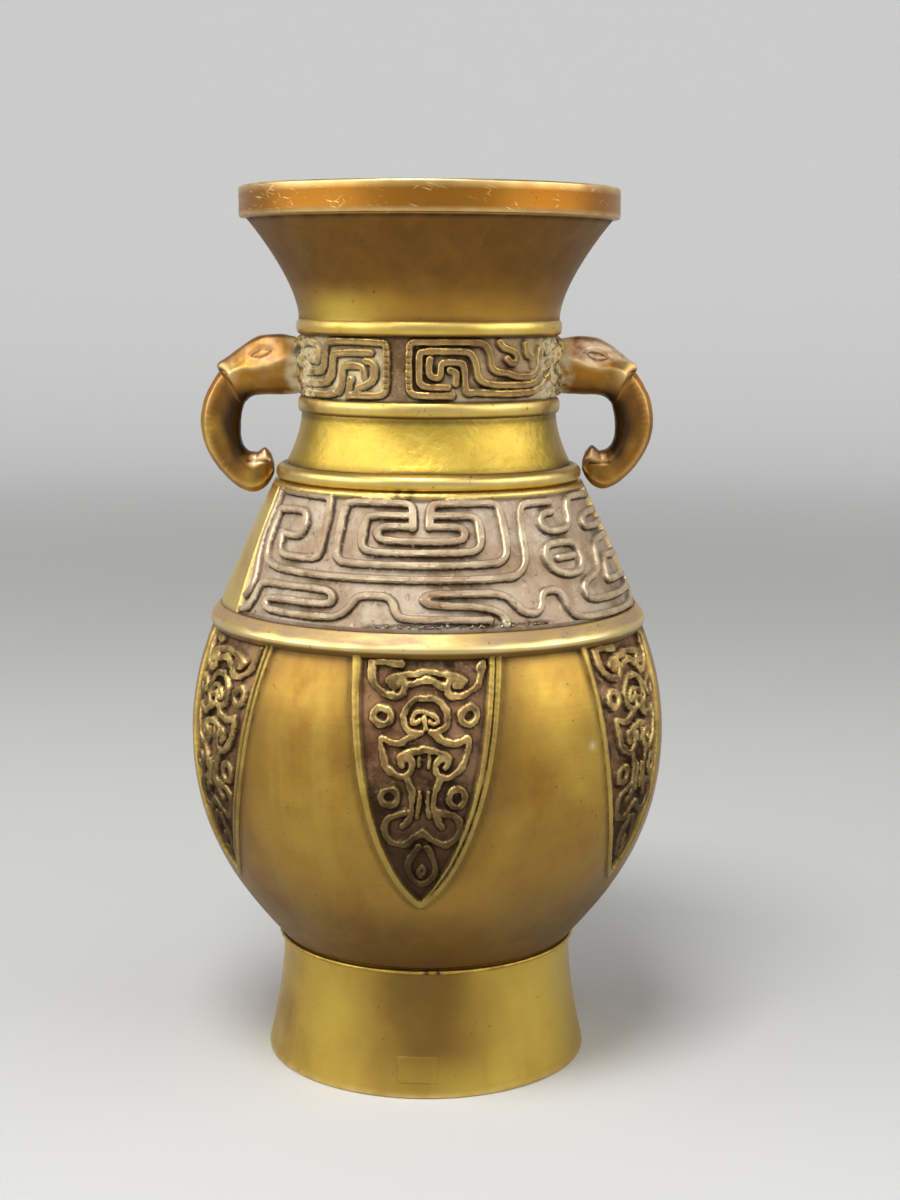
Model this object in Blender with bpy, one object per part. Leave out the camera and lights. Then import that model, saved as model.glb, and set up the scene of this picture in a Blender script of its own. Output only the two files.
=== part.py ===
"""Cast bronze vase with two elephant-head handles, as an assembly of castings, rings, handles and solder.

The vase stands on the XY plane with its axis on Z. The handles lie in the XZ plane and the front faces -Y.
"""
import math

import bmesh
import bpy
from mathutils import Matrix, Vector

# Driving dimensions, in metres

# Heights of the zones, from the table up
FOOT_HEIGHT = 0.0348        # table to the seam under the belly
BELLY_HEIGHT = 0.0903       # seam to the middle of the girdle ring
SHOULDER_HEIGHT = 0.0388    # girdle ring to shoulder ring
CONE_HEIGHT = 0.0183        # shoulder ring to lower neck ring
COLLAR_HEIGHT = 0.0209      # lower to upper neck ring
FLARE_HEIGHT = 0.0288       # upper neck ring to the underside of the rim band
RIM_HEIGHT = 0.0081         # rim band
BELLY_WIDEST = 0.0572       # seam to the widest girth of the belly

# Outer radii of the castings, and the steps between neighbours at a seam or a ring
FOOT_RADIUS = 0.0449
FOOT_WAIST_RADIUS = 0.0404
SEAM_STEP = 0.0006          # belly over the foot
BELLY_RADIUS = 0.06565
SHOULDER_BOTTOM_RADIUS = 0.0570
GIRDLE_STEP = 0.0024        # belly over the shoulder
CONE_BOTTOM_RADIUS = 0.0390
SHOULDER_STEP = 0.0030      # shoulder over the cone
COLLAR_RADIUS = 0.0350
CONE_STEP = 0.0002          # collar over the cone
FLARE_STEP = 0.0005         # flare over the collar
FLARE_TOP_RADIUS = 0.0496
RIM_STEP = 0.0018           # rim band over the flare

# Walls and edges
WALL = 0.0030
FOOT_WALL = 0.0036
RIM_WALL = 0.0042
RIM_EDGE = 0.0008
FOOT_EDGE = 0.0004

# Joints between the castings
FIT = 0.0003                # clearance between neighbouring pieces
SPIGOT_LENGTH = 0.0042
SPIGOT_WALL = 0.0012

# Half-round rings: thickness from back to crest and half height of each
GIRDLE_RING_DEPTH = 0.0036
GIRDLE_RING_HALF = 0.0031
SHOULDER_RING_DEPTH = 0.0032
SHOULDER_RING_HALF = 0.0024
LOWER_RING_DEPTH = 0.0013
LOWER_RING_HALF = 0.0021
UPPER_RING_DEPTH = 0.0015
UPPER_RING_HALF = 0.0021
RING_SEAT = 0.0005          # depth of a ring's seat below the thinner of its neighbours
RING_EDGE = 0.0004          # square stretch of a ring's section before it turns round

# Base plate let into the foot from below, and the solder that holds it
PLATE_RECESS = 0.0065
PLATE_THICKNESS = 0.0022
LEDGE_WIDTH = 0.0012
BASE_FILLET = 0.0014
SEAM_BEAD = 0.0006          # radius of the solder bead under the belly

# Patch let into the front of the foot
PATCH_WIDTH = 0.0110
PATCH_HEIGHT = 0.0072
PATCH_BOTTOM = 0.0039
PATCH_THICKNESS = 0.0008
PATCH_OFFSET = -0.0019      # along X from the middle of the front

# Lappets on the belly
LAPPET_COUNT = 6
LAPPET_WIDTH = 0.0384       # across the top
LAPPET_LENGTH = 0.0648      # height from the top edge to the tip
LAPPET_RISE = 0.0006        # border above the belly
LAPPET_DEPTH = 0.0010       # how far the raised border is rooted in the wall
LAPPET_BORDER = 0.0021      # width of the border
LAPPET_SINK = 0.0006        # ground inside the border, below the belly
LAPPET_TIP = 0.0008         # width left at the tip
LAPPET_SIDE = 2.4           # higher keeps the sides parallel for longer
LAPPET_POINT = 0.8          # lower makes the tip blunter
STROKE_WIDTH = 0.0018
STROKE_RISE = 0.0005        # strokes and knobs above the belly
STROKE_ROOT = 0.0008        # and how far they are rooted under the ground
KNOB_RADIUS = 0.0030

# Strokes and knobs in a lappet, as shares of its half width and of its length from the top
PAIRED_STROKES = (
    ((0.724, 0.043), (0.656, 0.099), (0.469, 0.127), (0.302, 0.110), (0.302, 0.069)),
    ((0.135, 0.296), (0.307, 0.306), (0.573, 0.284), (0.542, 0.361), (0.396, 0.426), (0.193, 0.423),
     (0.177, 0.377)),
    ((0.193, 0.460), (0.135, 0.531), (0.188, 0.596)),
)
MIDDLE_STROKES = (
    ((0.177, 0.046), (0.0, 0.037)),
    ((0.083, 0.259), (0.240, 0.244), (0.286, 0.199), (0.219, 0.151), (0.0, 0.131)),
    ((0.167, 0.335), (0.0, 0.335)),
    ((0.313, 0.583), (0.469, 0.605), (0.500, 0.664), (0.313, 0.713), (0.135, 0.691), (0.0, 0.654)),
)
DROP_STROKE = ((0.0, 0.728), (0.151, 0.772), (0.172, 0.821), (0.094, 0.867), (0.0, 0.880))
KNOBS = ((0.573, 0.201), (0.443, 0.515))
KNOB_SIDES = 6

# Handles
HANDLE_REACH = 0.0209       # root face to the middle of the trunk
BROW_BEND = 0.0090          # bend radius from the head down into the trunk
TRUNK_BEND = 0.0112         # bend radius from the trunk in to its tip
TIP_RISE = 0.0014           # middle of the tip above the middle of the shoulder ring
TIP_CLEARANCE = 0.0007      # tip to shoulder ring
HEAD_RISE = 0.0077          # middle of the head to its crown
HEAD_DROP = 0.0079          # middle of the head to its jaw
HEAD_HALF_WIDTH = 0.0066
FOREHEAD_RISE = 0.0054      # middle of the head to the slope above the trunk
BROW_RISE = 0.0044          # middle of the head to the tip of the brow
NAPE_RISE = 0.0031          # middle of the trunk to its front, under the brow
NAPE_DROP = 0.0072          # middle of the trunk to the throat
TRUNK_HALF_DEPTH = 0.0053
TRUNK_HALF_WIDTH = 0.0046
TIP_HALF_DEPTH = 0.0054
TIP_HALF_WIDTH = 0.0041
SNOUT_HALF_DEPTH = 0.0036
SNOUT_HALF_WIDTH = 0.0030
SNOUT_LENGTH = 0.0022
EYE_LENGTH = 0.0054
EYE_HEIGHT = 0.0032
EYE_RISE = 0.0007           # how far an eye stands out of the side of the head
EYE_REACH = 0.0098          # root face to the middle of an eye
EYE_LIFT = 0.0024           # middle of the head to the middle of an eye
EYE_TILT = 16               # degrees, outer corner down
ROOT_HALF_WIDTH = 0.0056
ROOT_LENGTH = 0.0016        # stretch of the root that the solder lies against
TENON_RADIUS = 0.0032
PEEN_RADIUS = 0.0046
PEEN_THICKNESS = 0.0014
FOREHEAD_TURN = 30          # degrees round the brow's bend, from the head, to the slope above the trunk
BROW_TURN = 55              # to the tip of the brow
LIP_TURN = 4                # from the tip of the brow to the trunk under it

# Solder round the handle roots
SOLDER_THIN = 0.0006        # above and below the root
SOLDER_WIDE = 0.0024        # beside the root
SOLDER_RISE = 0.0012        # up the side of the root
SOLDER_TOE = 0.0005         # thickness at the outer edge

# Shape of the turned curves: each pair places one handle of the curve as shares of its radius and height
FLARE_BEND = ((0.40, 0.25), (1.00, 0.71))
CONE_BEND = ((0.02, 0.32), (0.43, 0.66))
SHOULDER_BEND = ((0.35, 0.32), (0.69, 0.66))
BELLY_UPPER_BEND = ((0.667, 0.333), (1.00, 0.667))
BELLY_LOWER_BEND = ((0.00, 0.49), (0.51, 0.755))
FOOT_BEND = ((0.00, 0.37), (0.40, 0.65))

# Smoothness
SEGMENTS = 40
RING_STEPS = 5
SECTION_POINTS = 16
SECTION_POWER = 2.5         # 2 is an ellipse, higher is squarer
SMOOTH_ANGLE = math.radians(40)

# Heights of the joints and rings
Z_SEAM = FOOT_HEIGHT
Z_GIRDLE = Z_SEAM + BELLY_HEIGHT
Z_SHOULDER = Z_GIRDLE + SHOULDER_HEIGHT
Z_LOWER = Z_SHOULDER + CONE_HEIGHT
Z_UPPER = Z_LOWER + COLLAR_HEIGHT
Z_RIM = Z_UPPER + FLARE_HEIGHT
Z_TOP = Z_RIM + RIM_HEIGHT

# Radii on the other side of each step
BELLY_FOOT_RADIUS = FOOT_WAIST_RADIUS + SEAM_STEP
BELLY_TOP_RADIUS = SHOULDER_BOTTOM_RADIUS + GIRDLE_STEP
SHOULDER_TOP_RADIUS = CONE_BOTTOM_RADIUS + SHOULDER_STEP
CONE_TOP_RADIUS = COLLAR_RADIUS - CONE_STEP
FLARE_BOTTOM_RADIUS = COLLAR_RADIUS + FLARE_STEP
RIM_RADIUS = FLARE_TOP_RADIUS + RIM_STEP

# Radii of the seats under the rings
GIRDLE_SEAT = SHOULDER_BOTTOM_RADIUS - RING_SEAT
SHOULDER_SEAT = CONE_BOTTOM_RADIUS - RING_SEAT
LOWER_SEAT = CONE_TOP_RADIUS - RING_SEAT
UPPER_SEAT = COLLAR_RADIUS - RING_SEAT

# Neck bore, and the place of the handles on the collar
NECK_BORE = COLLAR_RADIUS - WALL
Z_COLLAR_LOW = Z_LOWER + LOWER_RING_HALF
Z_COLLAR_HIGH = Z_UPPER - UPPER_RING_HALF
Z_HANDLE = (Z_COLLAR_LOW + Z_COLLAR_HIGH) / 2
ROOT_HALF_HEIGHT = (Z_COLLAR_HIGH - Z_COLLAR_LOW) / 2 - 2 * FIT - SOLDER_THIN
X_ROOT = COLLAR_RADIUS + FIT
Z_TIP = Z_SHOULDER + TIP_RISE

# Base plate and its rebate
Z_LEDGE = PLATE_RECESS + PLATE_THICKNESS + FIT


def metal(name, colour, roughness):
    """A bare metal finish."""
    material = bpy.data.materials.new(name)
    material.use_nodes = True
    shader = material.node_tree.nodes["Principled BSDF"]
    shader.inputs["Base Color"].default_value = (*colour, 1.0)
    shader.inputs["Roughness"].default_value = roughness
    shader.inputs["Metallic"].default_value = 1.0
    return material


def add_object(name, bm, material):
    """Turn a bmesh into a named object with its material, smooth where its faces run on."""
    bmesh.ops.recalc_face_normals(bm, faces=bm.faces)
    mesh = bpy.data.meshes.new(name)
    bm.to_mesh(mesh)
    bm.free()
    mesh.shade_smooth()
    mesh.set_sharp_from_angle(angle=SMOOTH_ANGLE)
    if material is not None:
        mesh.materials.append(material)
    thing = bpy.data.objects.new(name, mesh)
    bpy.context.scene.collection.objects.link(thing)
    return thing


def add_cutter(name, bm):
    """A shape that is only an operand of a Boolean."""
    cutter = add_object(name, bm, None)
    cutter.hide_render = True
    cutter.display_type = "WIRE"
    return cutter


def boolean(target, operand, operation):
    step = target.modifiers.new(operand.name, "BOOLEAN")
    step.object = operand
    step.operation = operation
    step.solver = "EXACT"


def turned(name, outline, material):
    """A body of revolution about Z from a closed outline of (radius, height) points."""
    bm = bmesh.new()
    corners = [bm.verts.new((radius, 0.0, height)) for radius, height in outline]
    edges = [bm.edges.new((corners[i - 1], corners[i])) for i in range(len(corners))]
    bmesh.ops.spin(bm, geom=corners + edges, cent=(0, 0, 0), axis=(0, 0, 1), angle=math.tau,
                   steps=SEGMENTS, use_merge=True)
    return add_object(name, bm, material)


def curve(start, end, bend, steps):
    """Points of a smooth curve from start to end, whose handles are shares of the span."""
    span = (end[0] - start[0], end[1] - start[1])
    handles = [(start[0] + span[0] * radius, start[1] + span[1] * height) for radius, height in bend]
    controls = [start, *handles, end]
    points = []
    for i in range(steps + 1):
        t = i / steps
        weights = ((1 - t) ** 3, 3 * t * (1 - t) ** 2, 3 * t * t * (1 - t), t ** 3)
        points.append(tuple(sum(w * p[axis] for w, p in zip(weights, controls)) for axis in (0, 1)))
    return points


def inner_side(points, wall, low, high):
    """The inside of a wall whose outside runs down through the points, from low up to high."""
    inner = []
    for i, (radius, height) in enumerate(points):
        before = points[max(i - 1, 0)]
        after = points[min(i + 1, len(points) - 1)]
        run = Vector((after[0] - before[0], after[1] - before[1])).normalized()
        inner.append((radius + wall * run.y, height - wall * run.x))
    return [p for p in reversed(inner) if low < p[1] < high]


def socket(seat, z):
    """The top of a lower casting, inside, from its ledge up to its rim."""
    radius = seat - WALL / 2 + FIT / 2
    return [(radius, z - SPIGOT_LENGTH - FIT), (radius, z - FIT / 2)]


def spigot(seat, z):
    """The bottom of an upper casting, from its shoulder down, in and up again."""
    outer = seat - WALL / 2 - FIT / 2
    inner = outer - SPIGOT_WALL
    return [(seat, z + FIT / 2), (outer, z + FIT / 2), (outer, z - SPIGOT_LENGTH),
            (inner, z - SPIGOT_LENGTH), (inner, z)]


def belly_curve():
    """The outside of the belly, from under the girdle ring down to the seam."""
    top = (BELLY_TOP_RADIUS, Z_GIRDLE - GIRDLE_RING_HALF - FIT)
    widest = (BELLY_RADIUS, Z_SEAM + BELLY_WIDEST)
    bottom = (BELLY_FOOT_RADIUS, Z_SEAM + FIT / 2)
    return curve(top, widest, BELLY_UPPER_BEND, 4)[:-1] + curve(widest, bottom, BELLY_LOWER_BEND, 8)


def foot_curve():
    """The outside of the foot, from the seam down to the edge it stands on."""
    return curve((FOOT_WAIST_RADIUS, Z_SEAM - FIT / 2), (FOOT_RADIUS, FOOT_EDGE), FOOT_BEND, 5)


def radius_at(points, z):
    """Outer radius at a height, on a curve that runs down through the points."""
    for upper, lower in zip(points, points[1:]):
        if lower[1] <= z <= upper[1]:
            share = (upper[1] - z) / (upper[1] - lower[1])
            return upper[0] + (lower[0] - upper[0]) * share
    return points[0][0] if z > points[0][1] else points[-1][0]


def mouth_section(material):
    """Rim band and flaring mouth, down to the joint under the upper neck ring."""
    low = Z_UPPER + UPPER_RING_HALF + FIT
    flare = curve((FLARE_TOP_RADIUS, Z_RIM), (FLARE_BOTTOM_RADIUS, low), FLARE_BEND, 6)
    rim = [(RIM_RADIUS - RIM_EDGE, Z_TOP), (RIM_RADIUS, Z_TOP - RIM_EDGE), (RIM_RADIUS, Z_RIM)]
    inner = inner_side(flare, WALL, low, Z_TOP - RIM_EDGE)
    lip = [(RIM_RADIUS - RIM_WALL, Z_TOP)]
    outline = rim + flare + [(UPPER_SEAT, low)] + spigot(UPPER_SEAT, Z_UPPER) + inner + lip
    return turned("mouth_section", outline, material)


def neck_section(material):
    """Relief collar and plain cone, with a mortise through each side for the handles."""
    upper = Z_UPPER - UPPER_RING_HALF - FIT
    high = Z_LOWER + LOWER_RING_HALF + FIT
    low = Z_LOWER - LOWER_RING_HALF - FIT
    bottom = Z_SHOULDER + SHOULDER_RING_HALF + FIT
    cone = curve((CONE_TOP_RADIUS, low), (CONE_BOTTOM_RADIUS, bottom), CONE_BEND, 4)
    collar = [(UPPER_SEAT, Z_UPPER - FIT / 2), (UPPER_SEAT, upper), (COLLAR_RADIUS, upper),
              (COLLAR_RADIUS, high), (LOWER_SEAT, high), (LOWER_SEAT, low)]
    base = [(SHOULDER_SEAT, bottom)] + spigot(SHOULDER_SEAT, Z_SHOULDER)
    inner = inner_side(cone, WALL, bottom, low)
    bore = [(NECK_BORE, Z_LOWER), (NECK_BORE, Z_UPPER - SPIGOT_LENGTH - FIT)]
    outline = collar + cone + base + inner + bore + socket(UPPER_SEAT, Z_UPPER)
    neck = turned("neck_section", outline, material)
    bm = bmesh.new()
    bmesh.ops.create_cone(bm, cap_ends=True, segments=SECTION_POINTS, radius1=TENON_RADIUS + FIT,
                          radius2=TENON_RADIUS + FIT, depth=2 * (COLLAR_RADIUS + WALL))
    cutter = add_cutter("mortise_cutter", bm)
    cutter.rotation_euler = (0, math.pi / 2, 0)
    cutter.location = (0, 0, Z_HANDLE)
    boolean(neck, cutter, "DIFFERENCE")
    return neck


def shoulder_section(material):
    """Sloping shoulder from the shoulder ring down to the girdle ring."""
    high = Z_SHOULDER - SHOULDER_RING_HALF - FIT
    low = Z_GIRDLE + GIRDLE_RING_HALF + FIT
    slope = curve((SHOULDER_TOP_RADIUS, high), (SHOULDER_BOTTOM_RADIUS, low), SHOULDER_BEND, 5)
    top = [(SHOULDER_SEAT, Z_SHOULDER - FIT / 2), (SHOULDER_SEAT, high)]
    base = [(GIRDLE_SEAT, low)] + spigot(GIRDLE_SEAT, Z_GIRDLE)
    joint = socket(SHOULDER_SEAT, Z_SHOULDER)
    inner = inner_side(slope, WALL, low, joint[0][1] - WALL)
    return turned("shoulder_section", top + slope + base + inner + joint, material)


def lappet_middles():
    """Angles of the middles of the lappets."""
    return [math.tau * index / LAPPET_COUNT - math.pi / 2 for index in range(LAPPET_COUNT)]


def lappet_half(share):
    """Half width of a lappet at a share of its length from the top."""
    return max(LAPPET_WIDTH / 2 * (1 - share ** LAPPET_SIDE) ** LAPPET_POINT, LAPPET_TIP / 2)


def on_belly(bm, surface, middle, across, z, lift):
    """A vertex over the belly, at a distance across from a lappet's middle."""
    radius = radius_at(surface, z)
    angle = middle + across / radius
    return bm.verts.new(((radius + lift) * math.cos(angle), (radius + lift) * math.sin(angle), z))


def lappet_slabs(name, rows, high, low):
    """One slab on each lappet, from rows of (height, half width), between two distances off the belly."""
    surface = belly_curve()
    columns = (-1.0, -0.5, 0.0, 0.5, 1.0)
    bm = bmesh.new()
    for middle in lappet_middles():
        layers = []
        for lift in (high, low):
            layers.append([[on_belly(bm, surface, middle, half * column, z, lift) for column in columns]
                           for z, half in rows])
        close_slab(bm, *layers)
    return add_cutter(name, bm)


def lappet_fields():
    """Raised pointed fields hanging round the belly from the girdle ring, and the ground sunk inside them."""
    surface = belly_curve()
    top = surface[0][1] - FIT
    between = [z for _, z in surface if top - LAPPET_LENGTH + FIT < z < top - FIT]
    rows = [(z, lappet_half((top - z) / LAPPET_LENGTH)) for z in [top] + between]
    field = lappet_slabs("lappet_field", rows + [(top - LAPPET_LENGTH, LAPPET_TIP / 2)], LAPPET_RISE, -LAPPET_DEPTH)
    # The ground ends where the field is only two borders wide, and is open under the ring
    narrow = (LAPPET_BORDER + LAPPET_TIP / 2) / (LAPPET_WIDTH / 2)
    low = top - LAPPET_LENGTH * (1 - narrow ** (1 / LAPPET_POINT)) ** (1 / LAPPET_SIDE)
    rows = [(z, half - LAPPET_BORDER) for z, half in rows if z > low + FIT]
    rows = [(top + WALL, rows[0][1])] + rows + [(low, LAPPET_TIP / 2)]
    ground = lappet_slabs("lappet_ground", rows, LAPPET_RISE + WALL, -LAPPET_SINK)
    return field, ground


def stroke_sides(points, closed):
    """The two sides of a stroke of even width along a line of points."""
    half = STROKE_WIDTH / 2
    sides = ([], [])
    for i, point in enumerate(points):
        before = points[i - 1] if i > 0 or closed else None
        after = points[(i + 1) % len(points)] if i + 1 < len(points) or closed else None
        runs = [(end - start).normalized() for start, end in ((before, point), (point, after))
                if start is not None and end is not None]
        normals = [Vector((-run.y, run.x)) for run in runs]
        normal = sum(normals, Vector((0, 0))).normalized()
        reach = half / max(normal.dot(normals[0]), 0.5)
        sides[0].append(point + normal * reach)
        sides[1].append(point - normal * reach)
    return sides


def add_stroke(bm, surface, middle, points, closed=False):
    """A raised stroke over the ground of a lappet."""
    rings = []
    for left, right in zip(*stroke_sides(points, closed)):
        corners = ((left, STROKE_RISE), (right, STROKE_RISE), (right, -LAPPET_SINK - STROKE_ROOT),
                   (left, -LAPPET_SINK - STROKE_ROOT))
        rings.append([on_belly(bm, surface, middle, place.x, place.y, lift) for place, lift in corners])
    pairs = list(zip(rings, rings[1:]))
    if closed:
        pairs.append((rings[-1], rings[0]))
    else:
        bm.faces.new(rings[0])
        bm.faces.new(rings[-1])
    for ring, following in pairs:
        for i in range(len(ring)):
            bm.faces.new((ring[i - 1], ring[i], following[i], following[i - 1]))


def add_knob(bm, surface, middle, point):
    """A raised round knob over the ground of a lappet."""
    layers = []
    for lift in (STROKE_RISE, -LAPPET_SINK - STROKE_ROOT):
        ring = []
        for step in range(KNOB_SIDES):
            angle = math.tau * step / KNOB_SIDES
            ring.append(on_belly(bm, surface, middle, point.x + KNOB_RADIUS * math.cos(angle),
                                 point.y + KNOB_RADIUS * math.sin(angle), lift))
        bm.faces.new(ring)
        layers.append(ring)
    for i in range(KNOB_SIDES):
        bm.faces.new((layers[0][i - 1], layers[0][i], layers[1][i], layers[1][i - 1]))


def lappet_strokes():
    """The main strokes and knobs of the motif in each lappet, as one operand."""
    surface = belly_curve()
    top = surface[0][1] - FIT

    def placed(shares, side):
        return [Vector((side * across * LAPPET_WIDTH / 2, top - drop * LAPPET_LENGTH)) for across, drop in shares]

    def both(shares):
        return placed(shares, -1) + placed(shares, 1)[-2::-1]

    bm = bmesh.new()
    for middle in lappet_middles():
        for side in (-1, 1):
            for stroke in PAIRED_STROKES:
                add_stroke(bm, surface, middle, placed(stroke, side))
            for knob in placed(KNOBS, side):
                add_knob(bm, surface, middle, knob)
        for stroke in MIDDLE_STROKES:
            add_stroke(bm, surface, middle, both(stroke))
        add_stroke(bm, surface, middle, both(DROP_STROKE[::-1])[:-1], closed=True)
    return add_cutter("lappet_motif", bm)


def close_slab(bm, front, back):
    """Join two grids of vertices, of one layout, into a closed slab."""
    rows = len(front)
    columns = len(front[0])
    for grid in (front, back):
        for i in range(rows - 1):
            for j in range(columns - 1):
                bm.faces.new((grid[i][j], grid[i][j + 1], grid[i + 1][j + 1], grid[i + 1][j]))
    border = [(0, j) for j in range(columns)] + [(i, columns - 1) for i in range(1, rows)]
    border += [(rows - 1, j) for j in range(columns - 2, -1, -1)] + [(i, 0) for i in range(rows - 2, 0, -1)]
    for (i, j), (k, m) in zip(border, border[1:] + border[:1]):
        bm.faces.new((front[i][j], front[k][m], back[k][m], back[i][j]))


def belly_section(material):
    """Round belly with its lappets, from the girdle ring down to the seam on the foot."""
    outer = belly_curve()
    top = [(GIRDLE_SEAT, Z_GIRDLE - FIT / 2), (GIRDLE_SEAT, outer[0][1])]
    base = spigot(FOOT_WAIST_RADIUS, Z_SEAM)[1:]
    joint = socket(GIRDLE_SEAT, Z_GIRDLE)
    inner = inner_side(outer, WALL, Z_SEAM + FIT, joint[0][1] - WALL)
    belly = turned("belly_section", top + outer + base + inner + joint, material)
    field, ground = lappet_fields()
    boolean(belly, field, "UNION")
    boolean(belly, ground, "DIFFERENCE")
    boolean(belly, lappet_strokes(), "UNION")
    return belly


def foot_block(grow, depth, height_out):
    """A block that follows the front of the foot, for the patch and for its pocket."""
    surface = foot_curve()
    bm = bmesh.new()
    layers = []
    for lift in (height_out, -depth):
        grid = []
        for row in range(3):
            z = PATCH_BOTTOM - grow + (PATCH_HEIGHT + 2 * grow) * row / 2
            radius = radius_at(surface, z)
            line = []
            for column in range(5):
                across = PATCH_OFFSET + (PATCH_WIDTH + 2 * grow) * (column / 4 - 0.5)
                angle = across / radius - math.pi / 2
                line.append(bm.verts.new(((radius + lift) * math.cos(angle),
                                          (radius + lift) * math.sin(angle), z)))
            grid.append(line)
        layers.append(grid)
    close_slab(bm, *layers)
    return bm


def foot_ring(material):
    """Spreading foot with a rebate for the base plate and a pocket for the patch."""
    outer = foot_curve()
    ledge_radius = radius_at(outer, Z_LEDGE) - FOOT_WALL
    rebate = ledge_radius + LEDGE_WIDTH
    inner = inner_side(outer, FOOT_WALL, Z_LEDGE + LEDGE_WIDTH, Z_SEAM - SPIGOT_LENGTH - LEDGE_WIDTH)
    joint = socket(FOOT_WAIST_RADIUS, Z_SEAM)
    shelf = (FOOT_WAIST_RADIUS - FOOT_WALL, joint[0][1])
    bottom = [(FOOT_RADIUS - FOOT_EDGE, 0.0), (rebate, 0.0), (rebate, Z_LEDGE), (ledge_radius, Z_LEDGE)]
    foot = turned("foot_ring", outer + bottom + inner + [shelf] + joint, material)
    pocket = foot_block(FIT, PATCH_THICKNESS + FIT, WALL)
    boolean(foot, add_cutter("patch_pocket", pocket), "DIFFERENCE")
    return rebate


def base_plate(rebate, material):
    """Round plate that closes the foot from below."""
    bm = bmesh.new()
    radius = rebate - FIT
    bmesh.ops.create_cone(bm, cap_ends=True, segments=SEGMENTS, radius1=radius, radius2=radius,
                          depth=PLATE_THICKNESS)
    plate = add_object("base_plate", bm, material)
    plate.location = (0, 0, PLATE_RECESS + PLATE_THICKNESS / 2)


def base_solder(rebate, material):
    """Fillet of solder under the edge of the base plate."""
    outer = rebate - FIT
    top = PLATE_RECESS - FIT
    waist = BASE_FILLET / 3
    outline = [(outer, top), (outer, top - BASE_FILLET), (outer - waist, top - waist),
               (outer - BASE_FILLET, top)]
    turned("base_solder_ring", outline, material)


def seam_solder(material):
    """Round bead of solder outside the seam between belly and foot."""
    middle = (FOOT_WAIST_RADIUS + FIT + SEAM_BEAD, Z_SEAM - FIT - SEAM_BEAD)
    outline = []
    for step in range(6):
        angle = math.pi / 2 - math.tau * step / 6
        outline.append((middle[0] + SEAM_BEAD * math.cos(angle), middle[1] + SEAM_BEAD * math.sin(angle)))
    turned("foot_solder_ring", outline, material)


def half_round_ring(name, seat, depth, half, z, material):
    """A half-round ring that lies in its seat round the outside of the vase."""
    inner = seat + FIT
    edge = inner + RING_EDGE
    bulge = depth - RING_EDGE
    outline = [(inner, z + half)]
    for step in range(RING_STEPS + 1):
        angle = math.pi / 2 - math.pi * step / RING_STEPS
        outline.append((edge + bulge * math.cos(angle), z + half * math.sin(angle)))
    outline.append((inner, z - half))
    turned(name, outline, material)


def rounded_section(rise, drop, half_width):
    """Points (outward, sideways) of a squarish section that may rise more on one side than the other."""
    points = []
    for i in range(SECTION_POINTS):
        angle = math.tau * i / SECTION_POINTS
        outward = math.copysign(abs(math.cos(angle)) ** (2 / SECTION_POWER), math.cos(angle))
        sideways = math.copysign(abs(math.sin(angle)) ** (2 / SECTION_POWER), math.sin(angle))
        points.append((outward * (rise if outward > 0 else drop), sideways * half_width))
    return points


def round_section(radius):
    angles = [math.tau * i / SECTION_POINTS for i in range(SECTION_POINTS)]
    return [(radius * math.cos(angle), radius * math.sin(angle)) for angle in angles]


def handle_stations():
    """Middle, heading and section of the handle, from the peened tenon out and down to the snout.

    The heading is the angle below the X axis, so the trunk hangs at 90 degrees and the tip points in at 180.
    """
    peen_face = math.sqrt(NECK_BORE ** 2 - PEEN_RADIUS ** 2) - FIT
    root = rounded_section(ROOT_HALF_HEIGHT, ROOT_HALF_HEIGHT, ROOT_HALF_WIDTH)
    head = rounded_section(HEAD_RISE, HEAD_DROP, HEAD_HALF_WIDTH)
    stations = [(peen_face - PEEN_THICKNESS, Z_HANDLE, 0, round_section(PEEN_RADIUS)),
                (peen_face, Z_HANDLE, 0, round_section(PEEN_RADIUS)),
                (peen_face, Z_HANDLE, 0, round_section(TENON_RADIUS)),
                (X_ROOT, Z_HANDLE, 0, round_section(TENON_RADIUS)),
                (X_ROOT, Z_HANDLE, 0, root),
                (X_ROOT + ROOT_LENGTH, Z_HANDLE, 0, root)]
    trunk_x = X_ROOT + HANDLE_REACH
    bend_x = trunk_x - BROW_BEND
    cheek_x = (X_ROOT + ROOT_LENGTH + bend_x) / 2
    stations += [(cheek_x, Z_HANDLE, 0, head), (bend_x, Z_HANDLE, 0, head)]
    # Head turning down over the brow into the trunk
    forehead = rounded_section(FOREHEAD_RISE, HEAD_DROP, HEAD_HALF_WIDTH)
    brow = rounded_section(BROW_RISE, HEAD_DROP, HEAD_HALF_WIDTH)
    nape = rounded_section(NAPE_RISE, NAPE_DROP, TRUNK_HALF_WIDTH)
    trunk = rounded_section(TRUNK_HALF_DEPTH, TRUNK_HALF_DEPTH, TRUNK_HALF_WIDTH)
    for turn, section in ((FOREHEAD_TURN, forehead), (BROW_TURN, brow), (BROW_TURN + LIP_TURN, nape)):
        angle = math.radians(turn)
        stations.append((bend_x + BROW_BEND * math.sin(angle),
                         Z_HANDLE - BROW_BEND * (1 - math.cos(angle)), turn, section))
    # Trunk turning in to the tip
    tip = rounded_section(TIP_HALF_DEPTH, TIP_HALF_DEPTH, TIP_HALF_WIDTH)
    for turn, section in ((90, trunk), (115, trunk), (140, trunk), (165, tip), (180, tip)):
        angle = math.radians(turn - 90)
        stations.append((trunk_x - TRUNK_BEND * (1 - math.cos(angle)),
                         Z_TIP + TRUNK_BEND * (1 - math.sin(angle)), turn, section))
    tip_x = SHOULDER_SEAT + FIT + SHOULDER_RING_DEPTH + TIP_CLEARANCE
    snout = rounded_section(SNOUT_HALF_DEPTH, SNOUT_HALF_DEPTH, SNOUT_HALF_WIDTH)
    stations += [(tip_x + SNOUT_LENGTH, Z_TIP, 180, tip), (tip_x, Z_TIP, 180, snout)]
    return stations


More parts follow.
